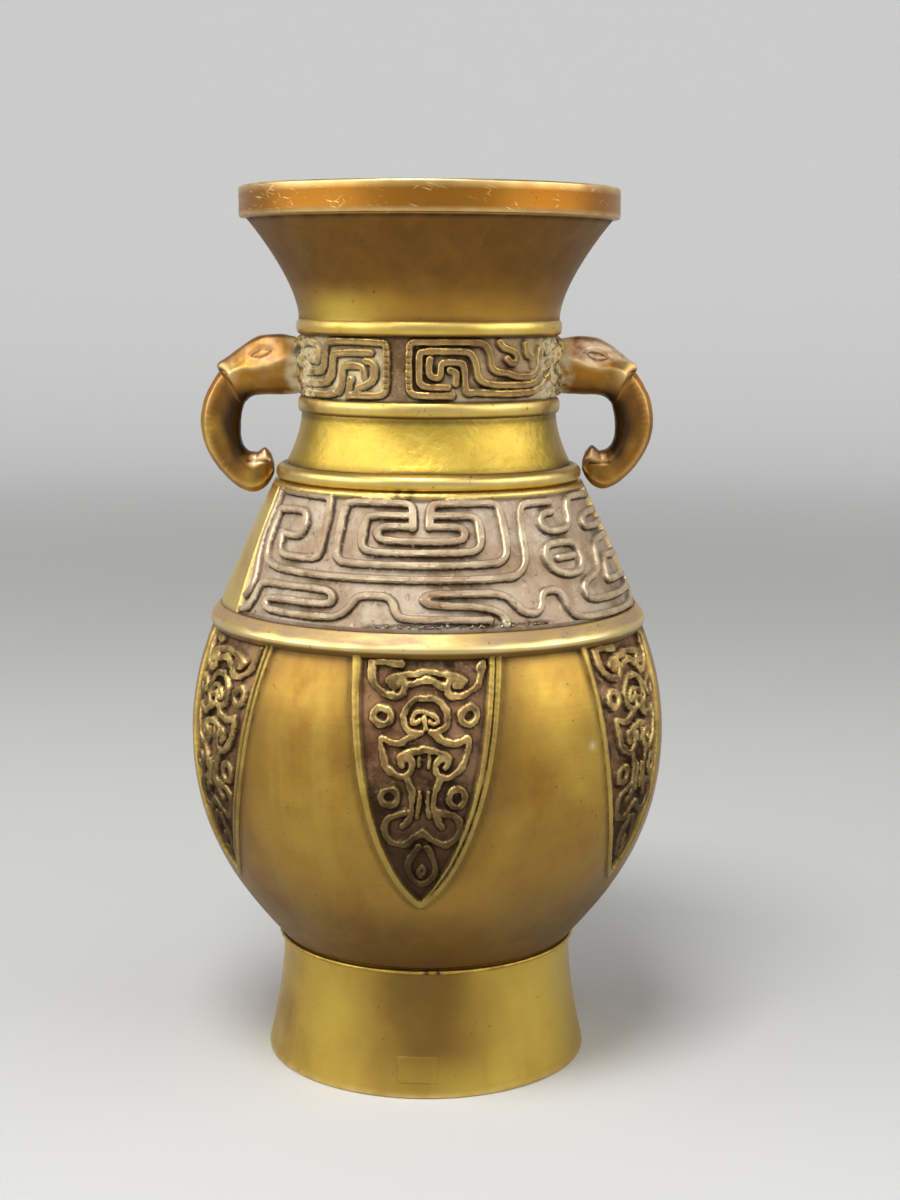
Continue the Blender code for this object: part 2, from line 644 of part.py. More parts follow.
def elephant_handle(name, side, material):
    """Elephant head with its trunk curled in to the shoulder, held by a tenon peened inside the neck."""
    bm = bmesh.new()
    rings = []
    for x, z, turn, section in handle_stations():
        angle = math.radians(turn)
        ring = []
        for outward, sideways in section:
            ring.append(bm.verts.new((side * (x + outward * math.sin(angle)), sideways,
                                      z + outward * math.cos(angle))))
        rings.append(ring)
    for ring, following in zip(rings, rings[1:]):
        for i in range(SECTION_POINTS):
            bm.faces.new((ring[i - 1], ring[i], following[i], following[i - 1]))
    bm.faces.new(rings[0])
    bm.faces.new(rings[-1])
    handle = add_object(name, bm, material)
    boolean(handle, eyes(name + "_eyes", side), "UNION")


def eyes(name, side):
    """A pair of almond eyes, rooted in the two sides of the head, as one operand."""
    angle = math.radians(EYE_TILT)
    bm = bmesh.new()
    for face in (-1, 1):
        eye = bmesh.ops.create_icosphere(bm, subdivisions=1, radius=1.0)["verts"]
        bmesh.ops.scale(bm, verts=eye, vec=(EYE_LENGTH / 2, 2 * EYE_RISE, EYE_HEIGHT / 2))
        bmesh.ops.rotate(bm, verts=eye, matrix=Matrix.Rotation(side * angle, 3, "Y"))
        place = (side * (X_ROOT + EYE_REACH), face * (HEAD_HALF_WIDTH - EYE_RISE), Z_HANDLE + EYE_LIFT)
        bmesh.ops.translate(bm, verts=eye, vec=place)
    return add_cutter(name, bm)


def handle_solder(name, side, material):
    """Collar of solder on the neck round the root of a handle."""
    inner = rounded_section(ROOT_HALF_HEIGHT + FIT, ROOT_HALF_HEIGHT + FIT, ROOT_HALF_WIDTH + FIT)
    outer_half = ROOT_HALF_HEIGHT + FIT + SOLDER_THIN
    outer = rounded_section(outer_half, outer_half, ROOT_HALF_WIDTH + FIT + SOLDER_WIDE)
    bm = bmesh.new()
    rings = []
    for (z_in, y_in), (z_out, y_out) in zip(inner, outer):
        wall_in = math.sqrt((COLLAR_RADIUS + FIT) ** 2 - y_in ** 2)
        wall_out = math.sqrt((COLLAR_RADIUS + FIT) ** 2 - y_out ** 2)
        corners = [(wall_in, y_in, z_in), (wall_out, y_out, z_out), (wall_out + SOLDER_TOE, y_out, z_out),
                   (X_ROOT + SOLDER_RISE, y_in, z_in)]
        rings.append([bm.verts.new((side * x, y, Z_HANDLE + z)) for x, y, z in corners])
    for ring, following in zip(rings, rings[1:] + rings[:1]):
        for i in range(len(ring)):
            bm.faces.new((ring[i - 1], ring[i], following[i], following[i - 1]))
    add_object(name, bm, material)


def build():
    for thing in list(bpy.data.objects):
        bpy.data.objects.remove(thing, do_unlink=True)
    bronze = metal("cast_bronze", (0.43, 0.27, 0.09), 0.34)
    dark_bronze = metal("relief_bronze", (0.33, 0.21, 0.09), 0.42)
    ring_brass = metal("ring_brass", (0.58, 0.39, 0.12), 0.30)
    handle_bronze = metal("handle_bronze", (0.40, 0.22, 0.09), 0.38)
    solder = metal("solder", (0.36, 0.34, 0.27), 0.60)
    plate_bronze = metal("plate_bronze", (0.22, 0.15, 0.08), 0.55)

    mouth_section(bronze)
    neck_section(dark_bronze)
    shoulder_section(dark_bronze)
    belly_section(bronze)
    half_round_ring("neck_ring_upper", UPPER_SEAT, UPPER_RING_DEPTH, UPPER_RING_HALF, Z_UPPER, ring_brass)
    half_round_ring("neck_ring_lower", LOWER_SEAT, LOWER_RING_DEPTH, LOWER_RING_HALF, Z_LOWER, ring_brass)
    half_round_ring("shoulder_ring", SHOULDER_SEAT, SHOULDER_RING_DEPTH, SHOULDER_RING_HALF, Z_SHOULDER,
                    ring_brass)
    half_round_ring("girdle_ring", GIRDLE_SEAT, GIRDLE_RING_DEPTH, GIRDLE_RING_HALF, Z_GIRDLE, ring_brass)
    rebate = foot_ring(bronze)
    base_plate(rebate, plate_bronze)
    base_solder(rebate, solder)
    seam_solder(solder)
    add_object("foot_patch", foot_block(0.0, PATCH_THICKNESS, 0.0), bronze)
    for name, side in (("left", -1), ("right", 1)):
        elephant_handle("elephant_handle_" + name, side, handle_bronze)
        handle_solder("handle_solder_" + name, side, solder)


build()
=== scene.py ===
"""Looks of the cast bronze vase with two elephant-head handles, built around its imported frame.

Lengths are in millimetres and angles in degrees, unless a name says otherwise. Angles round the vase start
at the front, which faces -Y, and grow towards +X. Heights are above the floor.
"""
import math

import bpy
import numpy as np
from mathutils import Matrix, Vector, noise


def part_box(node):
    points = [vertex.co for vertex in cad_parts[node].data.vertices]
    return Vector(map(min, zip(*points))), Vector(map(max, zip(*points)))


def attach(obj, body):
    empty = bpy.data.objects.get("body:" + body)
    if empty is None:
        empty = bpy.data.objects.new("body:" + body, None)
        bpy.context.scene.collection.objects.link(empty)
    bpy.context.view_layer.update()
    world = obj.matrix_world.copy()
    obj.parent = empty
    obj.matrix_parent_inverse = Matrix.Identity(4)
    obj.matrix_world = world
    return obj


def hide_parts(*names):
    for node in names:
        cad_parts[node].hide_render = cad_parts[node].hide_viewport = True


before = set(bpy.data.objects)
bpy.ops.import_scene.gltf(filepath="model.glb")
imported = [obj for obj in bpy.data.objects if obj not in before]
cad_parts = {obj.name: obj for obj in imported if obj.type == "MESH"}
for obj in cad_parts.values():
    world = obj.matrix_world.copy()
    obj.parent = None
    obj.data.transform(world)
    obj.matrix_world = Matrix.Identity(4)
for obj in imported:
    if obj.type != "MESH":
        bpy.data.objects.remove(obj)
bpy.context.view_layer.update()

MM = 0.001


def node_span(node):
    """Lowest height, highest height and outer radius of a turned node of the frame."""
    low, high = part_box(node)
    return low.z / MM, high.z / MM, high.x / MM


# Places and sizes that come from the frame
RING_NODES = ("neck_ring_upper", "neck_ring_lower", "shoulder_ring", "girdle_ring")
RINGS = {node: node_span(node) for node in RING_NODES}
Z_UPPER, Z_LOWER, Z_SHOULDER, Z_GIRDLE = [sum(RINGS[node][:2]) / 2 for node in RING_NODES]
_, Z_SEAM, FOOT_RADIUS = node_span("foot_ring")
_, Z_TOP, RIM_RADIUS = node_span("mouth_section")
BELLY_RADIUS = node_span("belly_section")[2]
PLATE_LOW, PLATE_HIGH, PLATE_RADIUS = node_span("base_plate")

# Profile of the castings
FOOT_WAIST = 40.4
BELLY_FOOT = 41.0
BELLY_TOP = 59.4
SHOULDER_BOTTOM = 57.0
SHOULDER_TOP = 42.0
CONE_BOTTOM = 39.0
CONE_TOP = 34.8
COLLAR = 35.0
FLARE_BOTTOM = 35.5
FLARE_TOP = 49.6
RIM_HEIGHT = 8.1
RIM_WALL = 4.2
BELLY_WIDEST = 57.2          # seam to the widest girth
WALL = 3.0
SHOULDER_WALL = 2.6
FOOT_WALL = 3.6
PATCH_ROOT = 0.8             # depth of the patch's back in the foot
Z_RIM = Z_TOP - RIM_HEIGHT
Z_WIDEST = Z_SEAM + BELLY_WIDEST

# Handles of the profile's curves, as shares of each span's radius and height
FLARE_BEND = ((0.40, 0.25), (1.00, 0.71))
CONE_BEND = ((0.02, 0.32), (0.43, 0.66))
SHOULDER_BEND = ((0.35, 0.32), (0.69, 0.66))
BELLY_UPPER_BEND = ((0.667, 0.333), (1.00, 0.667))
BELLY_LOWER_BEND = ((0.00, 0.49), (0.51, 0.755))
FOOT_BEND = ((0.00, 0.37), (0.40, 0.65))

# Radii at the joints: where a ring sits, and the outside and inside of the castings' ends under it
RING_SEATS = {"neck_ring_upper": 34.8, "neck_ring_lower": 34.6, "shoulder_ring": 38.8, "girdle_ring": 56.8}
MOUTH_END = 34.6
NECK_ENDS = (34.6, 34.4, 38.7)
NECK_BORE = COLLAR - WALL
CONE_BORES = (35.8, 35.6, 33.4)   # from the bottom up
SHOULDER_ENDS = (38.8, 56.6)
SHOULDER_BORES = (36.0, 54.0)
BELLY_ENDS = (57.0, 40.2)
BELLY_BORES = (54.0, 38.0)

# Relief heights and half widths of its strokes
SHOULDER_RISE = 1.70
SHOULDER_STROKE = 0.98
SHOULDER_FLANK = 0.50        # run of a stroke's side
COLLAR_RISE = 1.45
COLLAR_STROKE = 0.82
COLLAR_FLANK = 0.42
LAPPET_COUNT = 6
LAPPET_LENGTH = 66.3
LAPPET_HALF_TOP = 19.4       # half width at the top
LAPPET_SIDE = 2.4            # higher keeps the sides parallel for longer
LAPPET_POINT = 0.76          # lower makes the tip blunter
LAPPET_SINK = 1.35           # ground of a lappet below the belly
LAPPET_RISE = 1.73           # strokes above that ground
LAPPET_STROKE = 0.82
LAPPET_FLANK = 0.42
LAPPET_FINE_STROKE = 0.50
LAPPET_SHIFT = 0.5           # sideways place of a lappet's top
LAPPET_DRIFT = -1.5          # sideways lean from there to its tip
LAPPET_PROUD = 0.38          # most that a lappet stands above the belly
LAPPET_FURROW = 1.9          # furrow in the right side of the frame, from the edge
LAPPET_ROOT = 2.2            # depth of a lappet's back in the belly's wall
LAPPET_TOP = RINGS["girdle_ring"][0] + 0.6

# Width of a lappet's frame by the share of its length
LAPPET_FRAME_LEFT = ((0.0, 2.6), (0.1, 2.4), (0.4, 2.2), (0.85, 2.0), (1.0, 2.2))
LAPPET_FRAME_RIGHT = ((0.0, 3.7), (0.1, 3.7), (0.5, 3.5), (0.85, 3.0), (1.0, 2.2))

# Marks of age, and painted highlight and painted shade, that have their own places
FLAWS = ((-10.3, 1.3), (-5.6, 1.9))      # angle and half width, in the fillet under the shoulder ring
PINHOLES = (0.6, 4.9)                    # angles, in the seam
PINHOLE_WIDTH = 0.9
STAIN_PLACE = (41.0, 98.0)               # angle and height, on the belly
STAIN_RADIUS = 0.9
MOUTH_HIGHLIGHT = (-42.0, 22.0)               # angle and half width of a painted highlight on the lower flare of the mouth
FOOT_SHADE = (2.0, 23.0)                # the same, of painted shade over the front of the foot
# Tarnishing with painted shade on the belly, by height, strongest at the seam
BELLY_TARNISH_AND_SHADE = ((Z_SEAM, 1.0), (52.0, 0.9), (72.0, 0.45), (95.0, 0.1))
COLLAR_BARS = (-17.8, -8.0)              # angles of the two notched bars
COLLAR_BAR_WIDTH = 1.6
NOTCH_PITCH = 1.7
COLLAR_CHALK = ((-90, 0.7), (-19, 0.7), (-17, 0.0), (-9, 0.0), (-6, 0.40), (10, 0.45), (20, 0.3), (40, 0.1),
                (60, 0.4))               # chalky film by angle
CHALK_HEIGHTS = ((187.0, 1.0), (196.0, 0.9), (199.0, 0.35))
COLLAR_CHANNEL = ((-90, 0.30), (-20, 0.40), (-16, 1.0), (35, 0.9), (60, 0.4))

# Fret on the shoulder: strokes of (angle, height), one motif that covers half the girth
SHOULDER_STROKES = (
    # Left border and the hook inside it
    ((-66, 160), (-65, 156), (-64.5, 150), (-63, 144.5), (-60.5, 140.5), (-59, 137), (-59.3, 134.8),
     (-61.5, 133)),
    ((-62, 160.4), (-36.5, 160.2), (-35, 159), (-34, 146), (-35.5, 144.8), (-49, 144.6), (-51.8, 146),
     (-52.6, 148.6)),
    ((-60, 155.6), (-47, 156.4), (-44, 155), (-43.2, 152.5), (-44, 150.3), (-46, 149.7), (-53.3, 150)),
    # Long line under the middle
    ((-60.3, 155), (-59.8, 150), (-59, 146), (-57, 143), (-52, 141.6), (-40, 141), (24, 140.8), (28, 141.8),
     (30.8, 144.5), (31.3, 148), (31.8, 153), (32.8, 157.2), (35.5, 158.9), (47.8, 158.6)),
    # Three nested loops in the middle
    ((-4.4, 153.4), (-4.6, 158.6), (-7, 159.5), (-27, 159.4), (-29, 158.4), (-28.6, 147), (-27, 144.9),
     (-24, 144.4), (20, 144.4), (23.8, 145.4), (25.4, 148), (25.4, 157.4), (24.4, 159), (22, 159.4),
     (3.4, 159.5), (1.1, 158.4), (1.0, 153.6)),
    ((-5, 156.4), (-18.4, 156.4), (-20.4, 155.2), (-20.6, 149.4), (-19, 147.7), (-15, 147.4), (12, 147.4),
     (15.6, 147.9), (17.2, 149.6), (17.2, 155), (15.4, 156.4), (1.4, 156.4)),
    ((-4.6, 153.8), (-14.2, 153.7), (-15.7, 152.6), (-15.3, 151), (-13, 150.2), (8.8, 150.1), (11.8, 150.8),
     (12.3, 152.4), (10.8, 153.7), (1.2, 153.8)),
    # Hook, ring and dash on the right
    ((47, 156.2), (43, 156), (40.6, 154.6), (40.3, 153), (42, 151.7), (47, 151.4), (52.5, 151.7),
     (54.8, 153.5), (56, 156.5), (58.5, 158.7), (63, 159.4), (80, 158.6), (90, 157.6), (94.6, 155.4),
     (95.6, 150), (94.6, 141), (92.4, 134), (89, 130.6), (78, 129.4)),
    ((46, 148.5), (51.5, 148.3), (53.8, 146.8), (54, 143.5), (52, 141), (48, 140.5), (43, 140.9), (39, 143),
     (38.4, 146.5), (41, 148.4), (46, 148.5)),
    ((43.6, 144.8), (50.5, 144.9)),
    # Stepped lines round the right side
    ((90, 147.2), (78, 147.6), (70, 147.5), (65.5, 146.6), (63, 144), (61.8, 141), (59, 139.5), (53, 138.2),
     (50.6, 136.8), (50.8, 134.6), (53.5, 133.4), (62, 133.2), (84, 133), (87.4, 134.4), (86, 136.4),
     (78, 136.8), (68, 137), (65, 137.3), (66, 139.5), (67.5, 142), (71, 143.2), (78, 142.4), (88, 141.6),
     (90.6, 143.6), (90, 147.2)),
    ((78, 154.3), (68, 154.4), (64, 153.5), (62.5, 152), (65, 151), (78, 150.6), (86, 150.8), (89.6, 152.4),
     (87, 154.1), (78, 154.3)),
    # Lower row
    ((-61, 129.4), (-57.5, 130.2), (-56, 132.5), (-55.6, 135.5), (-54, 137.3), (-48, 137.6), (-30, 137.8),
     (-27, 137), (-26, 135.3), (-27.5, 134), (-48.5, 134.2), (-50, 132.9), (-49, 131.4), (-45, 131),
     (-27, 130.9), (-23, 131.9), (-20.8, 133.8), (-19.6, 136), (-17.5, 136.9), (-11, 136.9), (-9, 135.8),
     (-8, 133), (-6.2, 131.6), (0, 131.5), (17, 131.2)),
    ((21.5, 129.8), (21.3, 131.6), (19, 133.3), (14, 134.5), (2, 134.9), (-0.6, 135.8), (-0.2, 137.1),
     (3, 137.6), (18, 137.6), (22.5, 136.8), (25, 134.5), (27, 132.5), (31, 132), (32.8, 133.6),
     (33.5, 136.2), (35.5, 137.3), (39.5, 137.1), (41.2, 135), (42.3, 131.8), (45, 129.9), (52, 129.3),
     (78, 129.2)),
)
STRIP_TOP = (-99.5, -69.5)    # plain strip beside the motif, at the top and at the bottom of the shoulder
STRIP_BOTTOM = (-86.0, -61.5)
FLASH_HEIGHT = 129.6          # ragged edge of metal above the girdle ring

# Fret on the collar: the left and the right half of one motif
COLLAR_STROKES = (
    ((-70, 191.3), (-55, 191.5), (-52.3, 192.8), (-51.5, 196), (-50.8, 198.6), (-49, 199.8), (-20, 199.7),
     (-18, 199), (-17.7, 196), (-17.8, 188), (-19, 186.4), (-22, 185.9), (-35.5, 185.8)),
    ((-70, 188.5), (-52, 188.5), (-48, 189.6), (-46.2, 192), (-46, 195.3), (-44.5, 196.9), (-25.5, 196.9)),
    ((-43, 186.5), (-40.2, 188), (-40.2, 192.3), (-38.5, 193.6), (-29, 193.6), (-28.3, 190.5)),
    ((-27.5, 194.8), (-23.8, 194.3), (-23.2, 190.8), (-25.5, 189), (-31.5, 187.8)),
    ((-35.5, 190), (-37, 185.4)),
    ((-74, 185.8), (-50, 185.6), (-45.5, 186.2)),
    ((-75, 198.6), (-66, 199.4), (-59, 199), (-56, 197.2), (-56.4, 194.6), (-62, 194.2), (-66, 195.6)),
    ((10.4, 186.1), (-4.5, 186.1), (-7.6, 187.1), (-8, 189), (-8, 198.2), (-7, 199.6), (-4, 199.8),
     (22, 199.8), (25.2, 199.2), (27, 197.7), (28, 195.7), (28.5, 193.3), (31.2, 192.1), (37, 191.8),
     (42.5, 190.7), (51.4, 190.7), (55, 191.8), (56.8, 193.3), (57.4, 197.7)),
    ((8.6, 188.3), (-0.4, 188.3), (-3.2, 189), (-3.7, 191), (-3.7, 196.4), (-2.4, 197.5), (17, 197.5),
     (19.3, 196.5), (21, 194.2), (21.7, 191.2), (23.5, 189.8), (27.6, 188.9), (39.5, 188.6), (51.4, 188.6),
     (56.8, 190), (59.2, 191.8), (64.5, 193.3), (72, 195)),
    ((0.8, 195.4), (0.4, 191.8), (2, 190.8), (5.5, 190.6), (5.5, 194), (7, 194.7), (14, 194.7), (16, 193.6),
     (16.2, 188), (17.4, 186.7), (21.7, 187.1), (31.2, 186.5), (51.4, 186.5), (58.6, 187.7), (62, 188.9),
     (67, 190.7)),
    ((9.4, 192.6), (12.4, 192.2), (12.2, 189.2)),
    ((32.4, 199.8), (33.6, 198.6), (39.5, 197.4), (42.5, 196.2), (41.2, 194.2), (38, 194.4), (36.4, 195.6)),
    ((47, 199.2), (48, 196.6), (52, 195.6), (53, 193.4)),
    ((62, 199), (63, 197), (68, 197.4), (73, 199)),
)

# Motif of a lappet: strokes of (distance from the middle, height), drawn once and mirrored
LAPPET_STROKES = (
    ((14.0, 121.0), (13.9, 118.0), (13.3, 115.7), (11.9, 114.5), (10.1, 113.7), (8.0, 113.0), (5.9, 113.6),
     (5.2, 115.1), (5.6, 116.9), (7.5, 117.3), (8.9, 116.6), (8.6, 115.5), (7.2, 115.8)),
    ((0.0, 119.1), (4.0, 118.6), (7.8, 117.9), (9.6, 116.8)),
    ((0.0, 117.1), (2.0, 116.4), (4.0, 115.8)),
    ((0.0, 112.8), (2.7, 112.6), (4.6, 110.9), (5.5, 108.5), (5.1, 105.9), (3.6, 104.6), (1.6, 104.5)),
    ((1.2, 104.4), (3.4, 103.0), (5.9, 101.8), (8.4, 102.0), (11.0, 103.0)),
    ((11.0, 103.0), (11.3, 101.0), (10.4, 98.0), (9.3, 95.5), (7.6, 93.8), (5.2, 93.2), (3.2, 94.2),
     (2.7, 96.0), (3.4, 97.5), (4.9, 98.3), (6.1, 97.2), (5.4, 96.0)),
    ((0.0, 100.1), (3.1, 99.7), (5.2, 99.2), (6.3, 98.0)),
    ((3.9, 92.6), (3.1, 90.2), (2.6, 88.0), (2.7, 84.8), (3.9, 81.2), (4.7, 80.4)),
    ((3.9, 84.2), (6.6, 83.7), (9.0, 82.6), (9.8, 80.4), (9.4, 78.0), (8.0, 76.1), (5.6, 75.2), (3.4, 76.0),
     (1.6, 77.6), (0.0, 79.0)),
    ((1.0, 74.6), (2.9, 72.2), (3.7, 69.6), (3.2, 66.8), (1.6, 64.8), (0.0, 64.0)),
)
LAPPET_FINE_STROKES = (
    ((1.2, 107.3), (2.0, 106.6), (3.2, 106.8), (3.4, 107.9), (2.4, 109.0), (0.0, 109.6)),
    ((0.0, 108.2), (0.0, 105.2)),
    ((1.3, 98.2), (1.2, 95.6)),
    ((1.0, 89.6), (0.9, 86.0), (1.5, 82.6)),
    ((0.0, 69.0), (0.9, 67.6), (0.0, 66.4)),
)
LAPPET_RINGS = ((11.0, 108.4), (8.5, 88.0))
LAPPET_RING_RADIUS = 2.15
LAPPET_KNOB = (13.7, 119.8)
LAPPET_KNOB_RADIUS = 0.55
LAPPET_DASH = ((-12.8, 121.3), (-9.0, 120.9), (-6.6, 120.8))

# Handle stations: outer x and z, inner x and z, half width
HANDLE_STATIONS = (
    (35.0, 199.9, 35.0, 185.5, 5.6),
    (37.6, 200.6, 37.6, 185.1, 6.0),
    (41.2, 201.0, 41.0, 185.0, 6.5),
    (45.6, 200.6, 44.4, 185.0, 6.7),
    (49.2, 198.8, 47.0, 184.7, 6.6),
    (52.7, 196.2, 48.6, 184.0, 6.4),
    (55.2, 194.2, 49.3, 183.3, 6.1),
    (56.6, 193.0, 49.7, 182.9, 5.9),
    (57.0, 192.2, 49.9, 182.6, 5.6),
    (56.2, 191.4, 50.1, 182.2, 4.5),
    (57.2, 190.2, 50.3, 181.5, 4.2),
    (58.7, 187.8, 50.6, 180.3, 4.4),
    (60.5, 184.1, 50.9, 178.4, 4.6),
    (61.5, 179.6, 51.0, 176.4, 4.7),
    (61.4, 175.4, 51.0, 174.8, 4.7),
    (60.2, 170.9, 50.8, 173.1, 4.7),
    (57.8, 166.6, 50.3, 171.6, 4.6),
    (54.7, 162.9, 49.5, 170.5, 4.5),
    (51.3, 160.1, 48.5, 169.9, 4.4),
    (48.0, 159.0, 47.2, 169.9, 4.3),
    (45.2, 160.0, 46.0, 170.5, 4.2),
    (43.3, 162.1, 44.6, 170.7, 3.9),
    (42.3, 164.2, 43.2, 169.6, 3.1),
)
EYE_MIDDLE = (45.5, 195.7)
EYE_HALF = (2.9, 1.0)
EYE_TILT = 13.0
GROOVE_ENDS = ((44.2, 166.3), (49.4, 166.6))
HANDLE_TOP = 201.0
MARK_PITCH = 1.35             # of the punched marks along the trunk
LIP_LOBE_PLACE = 44.8
LIP_LOBE_PITCH = 4.6
LEFT_STRETCH = (1.04, 1.035)  # the left handle's trunk reaches further out and down

# Half sections of a handle from its crown round, as shares of its depth and of its half width
ROOT_SECTION = ((1.0, 0.0), (0.94, 0.40), (0.24, 1.0), (-0.72, 0.90), (-1.0, 0.45), (-1.0, 0.0))
HEAD_SECTION = ((1.0, 0.0), (0.93, 0.42), (-0.04, 1.0), (-0.75, 0.86), (-1.0, 0.45), (-1.0, 0.0))
BROW_SECTION = ((1.0, 0.0), (0.92, 0.50), (0.32, 1.0), (-0.72, 0.84), (-1.0, 0.45), (-1.0, 0.0))
TRUNK_SECTION = ((1.0, 0.0), (0.97, 0.38), (0.74, 0.84), (-0.48, 1.0), (-0.98, 0.52), (-1.0, 0.0))
TIP_SECTION = ((1.0, 0.0), (0.96, 0.42), (0.70, 0.88), (-0.30, 0.99), (-1.0, 0.42), (-1.0, 0.0))
FACET_POINTS = (7, 22, 15, 8, 4)
RIDGE_COLUMN = sum(FACET_POINTS[:2])     # from the crown to the widest point
THROAT_COLUMN = sum(FACET_POINTS[:3])
CORNER_ROUNDS = 9
BROW_STATION = 9             # where the trunk comes out from under the brow
BROW_BOW = 1.3


def bezier(start, end, bend, steps):
    """Points of a smooth curve from start to end, whose handles are shares of the span."""
    start, end = np.array(start), np.array(end)
    first, second = [start + (end - start) * np.array(share) for share in bend]
    t = np.linspace(0.0, 1.0, steps + 1)[:, None]
    return start * (1 - t) ** 3 + 3 * first * t * (1 - t) ** 2 + 3 * second * t * t * (1 - t) + end * t ** 3


def evenly(points, count):
    """The same line with evenly spaced points."""
    points = np.array(points, float)
    steps = np.linalg.norm(np.diff(points, axis=0), axis=1)
    length = np.concatenate([[0.0], np.cumsum(steps)])
    places = np.linspace(0.0, length[-1], count)
    return np.stack([np.interp(places, length, points[:, i]) for i in range(points.shape[1])], 1)


def rounded(points, rounds=2):
    """The line with its corners cut round and its ends kept."""
    points = np.array(points, float)
    for _ in range(rounds):
        near = 0.75 * points[:-1] + 0.25 * points[1:]
        far = 0.25 * points[:-1] + 0.75 * points[1:]
        between = np.stack([near, far], 1).reshape(-1, points.shape[1])
        points = np.concatenate([points[:1], between[1:-1], points[-1:]])
    return points


def smooth(value, low, high):
    """0 below low, 1 above high, and a soft step between them."""
    share = np.clip((value - low) / (high - low), 0.0, 1.0)
    return share * share * (3.0 - 2.0 * share)


def bell(gap, width):
    """1 where the gap is 0, falling softly to 0 within about twice the width."""
    return np.exp(-(gap / width) ** 2)


def read_off(value, table):
    """Values read off a table of (place, value) pairs, straight between them."""
    places, values = zip(*table)
    return np.interp(value, places, values)


def ripple(across, along, seed):
    """A soft uneven field between -1 and 1, made of a few slanted waves."""
    total = np.zeros(np.broadcast(across, along).shape)
    for k in range(1, 6):
        turn = seed * 1.7 + k * 2.4
        pitch = 0.35 * k ** 0.8
        total += np.sin((across * math.cos(turn) + along * math.sin(turn)) * pitch + seed * k * 3.1) / 5
    return total


def chips(across, along, seed):
    """Small unevenness of carved edges, in mm."""
    coarse, fine = ripple(across * 2.3, along * 2.1, seed), ripple(across * 7.3, along * 6.9, seed + 1)
    return 0.05 * coarse + 0.08 * fine


def nearest_stroke(across, along, scale, strokes):
    """Distance from every point of a grid to the nearest stroke.

    Rows of the grid share their along value, columns their across value, and scale turns across into mm.
    """
    reach = 4.0
    found = np.full((len(along), len(across)), reach)
    for stroke in strokes:
        for (x0, y0), (x1, y1) in zip(stroke[:-1], stroke[1:]):
            rows = np.nonzero((along > min(y0, y1) - reach) & (along < max(y0, y1) + reach))[0]
            if len(rows) == 0:
                continue
            margin = reach / scale[rows].min()
            columns = np.nonzero((across > min(x0, x1) - margin) & (across < max(x0, x1) + margin))[0]
            if len(columns) == 0:
                continue
            unit = scale[rows][:, None]
            start_x = (x0 - across[columns])[None, :] * unit
            start_y = (y0 - along[rows])[:, None]
            run_x = (x1 - x0) * unit
            run_y = y1 - y0
            length = run_x ** 2 + run_y ** 2 + 1e-9
            share = np.clip(-(start_x * run_x + start_y * run_y) / length, 0.0, 1.0)
            gap = np.hypot(start_x + share * run_x, start_y + share * run_y)
            window = np.ix_(rows, columns)
            found[window] = np.minimum(found[window], gap)
    return found


def add_piece(name, points, faces, finish, node=None, masks=None, crease=40.0):
    """A mesh piece of the vase that rides on its body, from points in mm."""
    mesh = bpy.data.meshes.new(name)
    mesh.from_pydata((points * MM).tolist(), [], faces)
    mesh.shade_smooth()
    mesh.set_sharp_from_angle(angle=math.radians(crease))
    mesh.materials.append(finish)
    for mask, values in (masks or {}).items():
        layer = mesh.attributes.new(mask, "FLOAT", "POINT")
        layer.data.foreach_set("value", np.ascontiguousarray(values, np.float32).ravel())
    piece = bpy.data.objects.new(name, mesh)
    bpy.context.scene.collection.objects.link(piece)
    return settle(piece, node)


def settle(piece, node=None):
    """Put a piece on the vase's one body and the node that it stands for."""
    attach(piece, "root")
    if node:
        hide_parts(node)
    return piece


def round_points(radius, angle, z):
    """Points of a grid at radii, angles in radians and heights round the vase."""
    sides = np.broadcast_arrays(radius * np.sin(angle), -radius * np.cos(angle), z)
    return np.stack(sides, -1).reshape(-1, 3)


def wrapped_faces(rows, columns):
    """Quads of a grid that closes on itself both ways."""
    i, j = np.meshgrid(np.arange(rows), np.arange(columns), indexing="ij")
    below, beside = (i + 1) % rows, (j + 1) % columns
    corners = ((i, j), (below, j), (below, beside), (i, beside))
    quads = np.stack([row * columns + column for row, column in corners], -1)
    return quads.reshape(-1, 4).tolist()


def capped_faces(rows, columns):
    """Faces of a tube whose ends close in two poles: first the last row's pole, then the first row's."""
    faces = wrapped_faces(rows, columns)[:(rows - 1) * columns]
    last, pole = (rows - 1) * columns, rows * columns
    for j in range(columns):
        beside = (j + 1) % columns
        faces.append([last + j, pole, last + beside])
        faces.append([beside, pole + 1, j])
    return faces


def outward(line):
    """Outward normals of a profile that runs down."""
    run = np.gradient(line, axis=0)
    normal = np.stack([-run[:, 1], run[:, 0]], 1)
    return normal / np.linalg.norm(normal, axis=1, keepdims=True)


def turned(name, outer, inner, columns, finish, node, start=-180.0, lift=None, masks=None,
           crease=40.0):
    """A closed shell of revolution: its outside from the top down, then its inside from the bottom up."""
    outer, inner = np.array(outer, float), np.array(inner, float)
    rows = len(outer) + len(inner)
    angle = np.radians(column_angles(columns, start))[None, :]
    radius = np.repeat(np.concatenate([outer[:, 0], inner[:, 0]])[:, None], columns, 1)
    height = np.repeat(np.concatenate([outer[:, 1], inner[:, 1]])[:, None], columns, 1)
    if lift is not None:
        normal = outward(outer)
        radius[:len(outer)] += lift * normal[:, :1]
        height[:len(outer)] += lift * normal[:, 1:]
    points = round_points(radius, angle, height)
    full = {"inside": np.zeros((rows, columns))}
    full["inside"][len(outer):] = 1.0
    for mask, values in (masks or {}).items():
        full[mask] = np.zeros((rows, columns))
        full[mask][:len(outer)] = values
    return add_piece(name, points, wrapped_faces(rows, columns), finish, node, full, crease)


def column_angles(columns, start=-180.0):
    """Angles of evenly spread columns round the vase."""
    return start + 360.0 * np.arange(columns) / columns


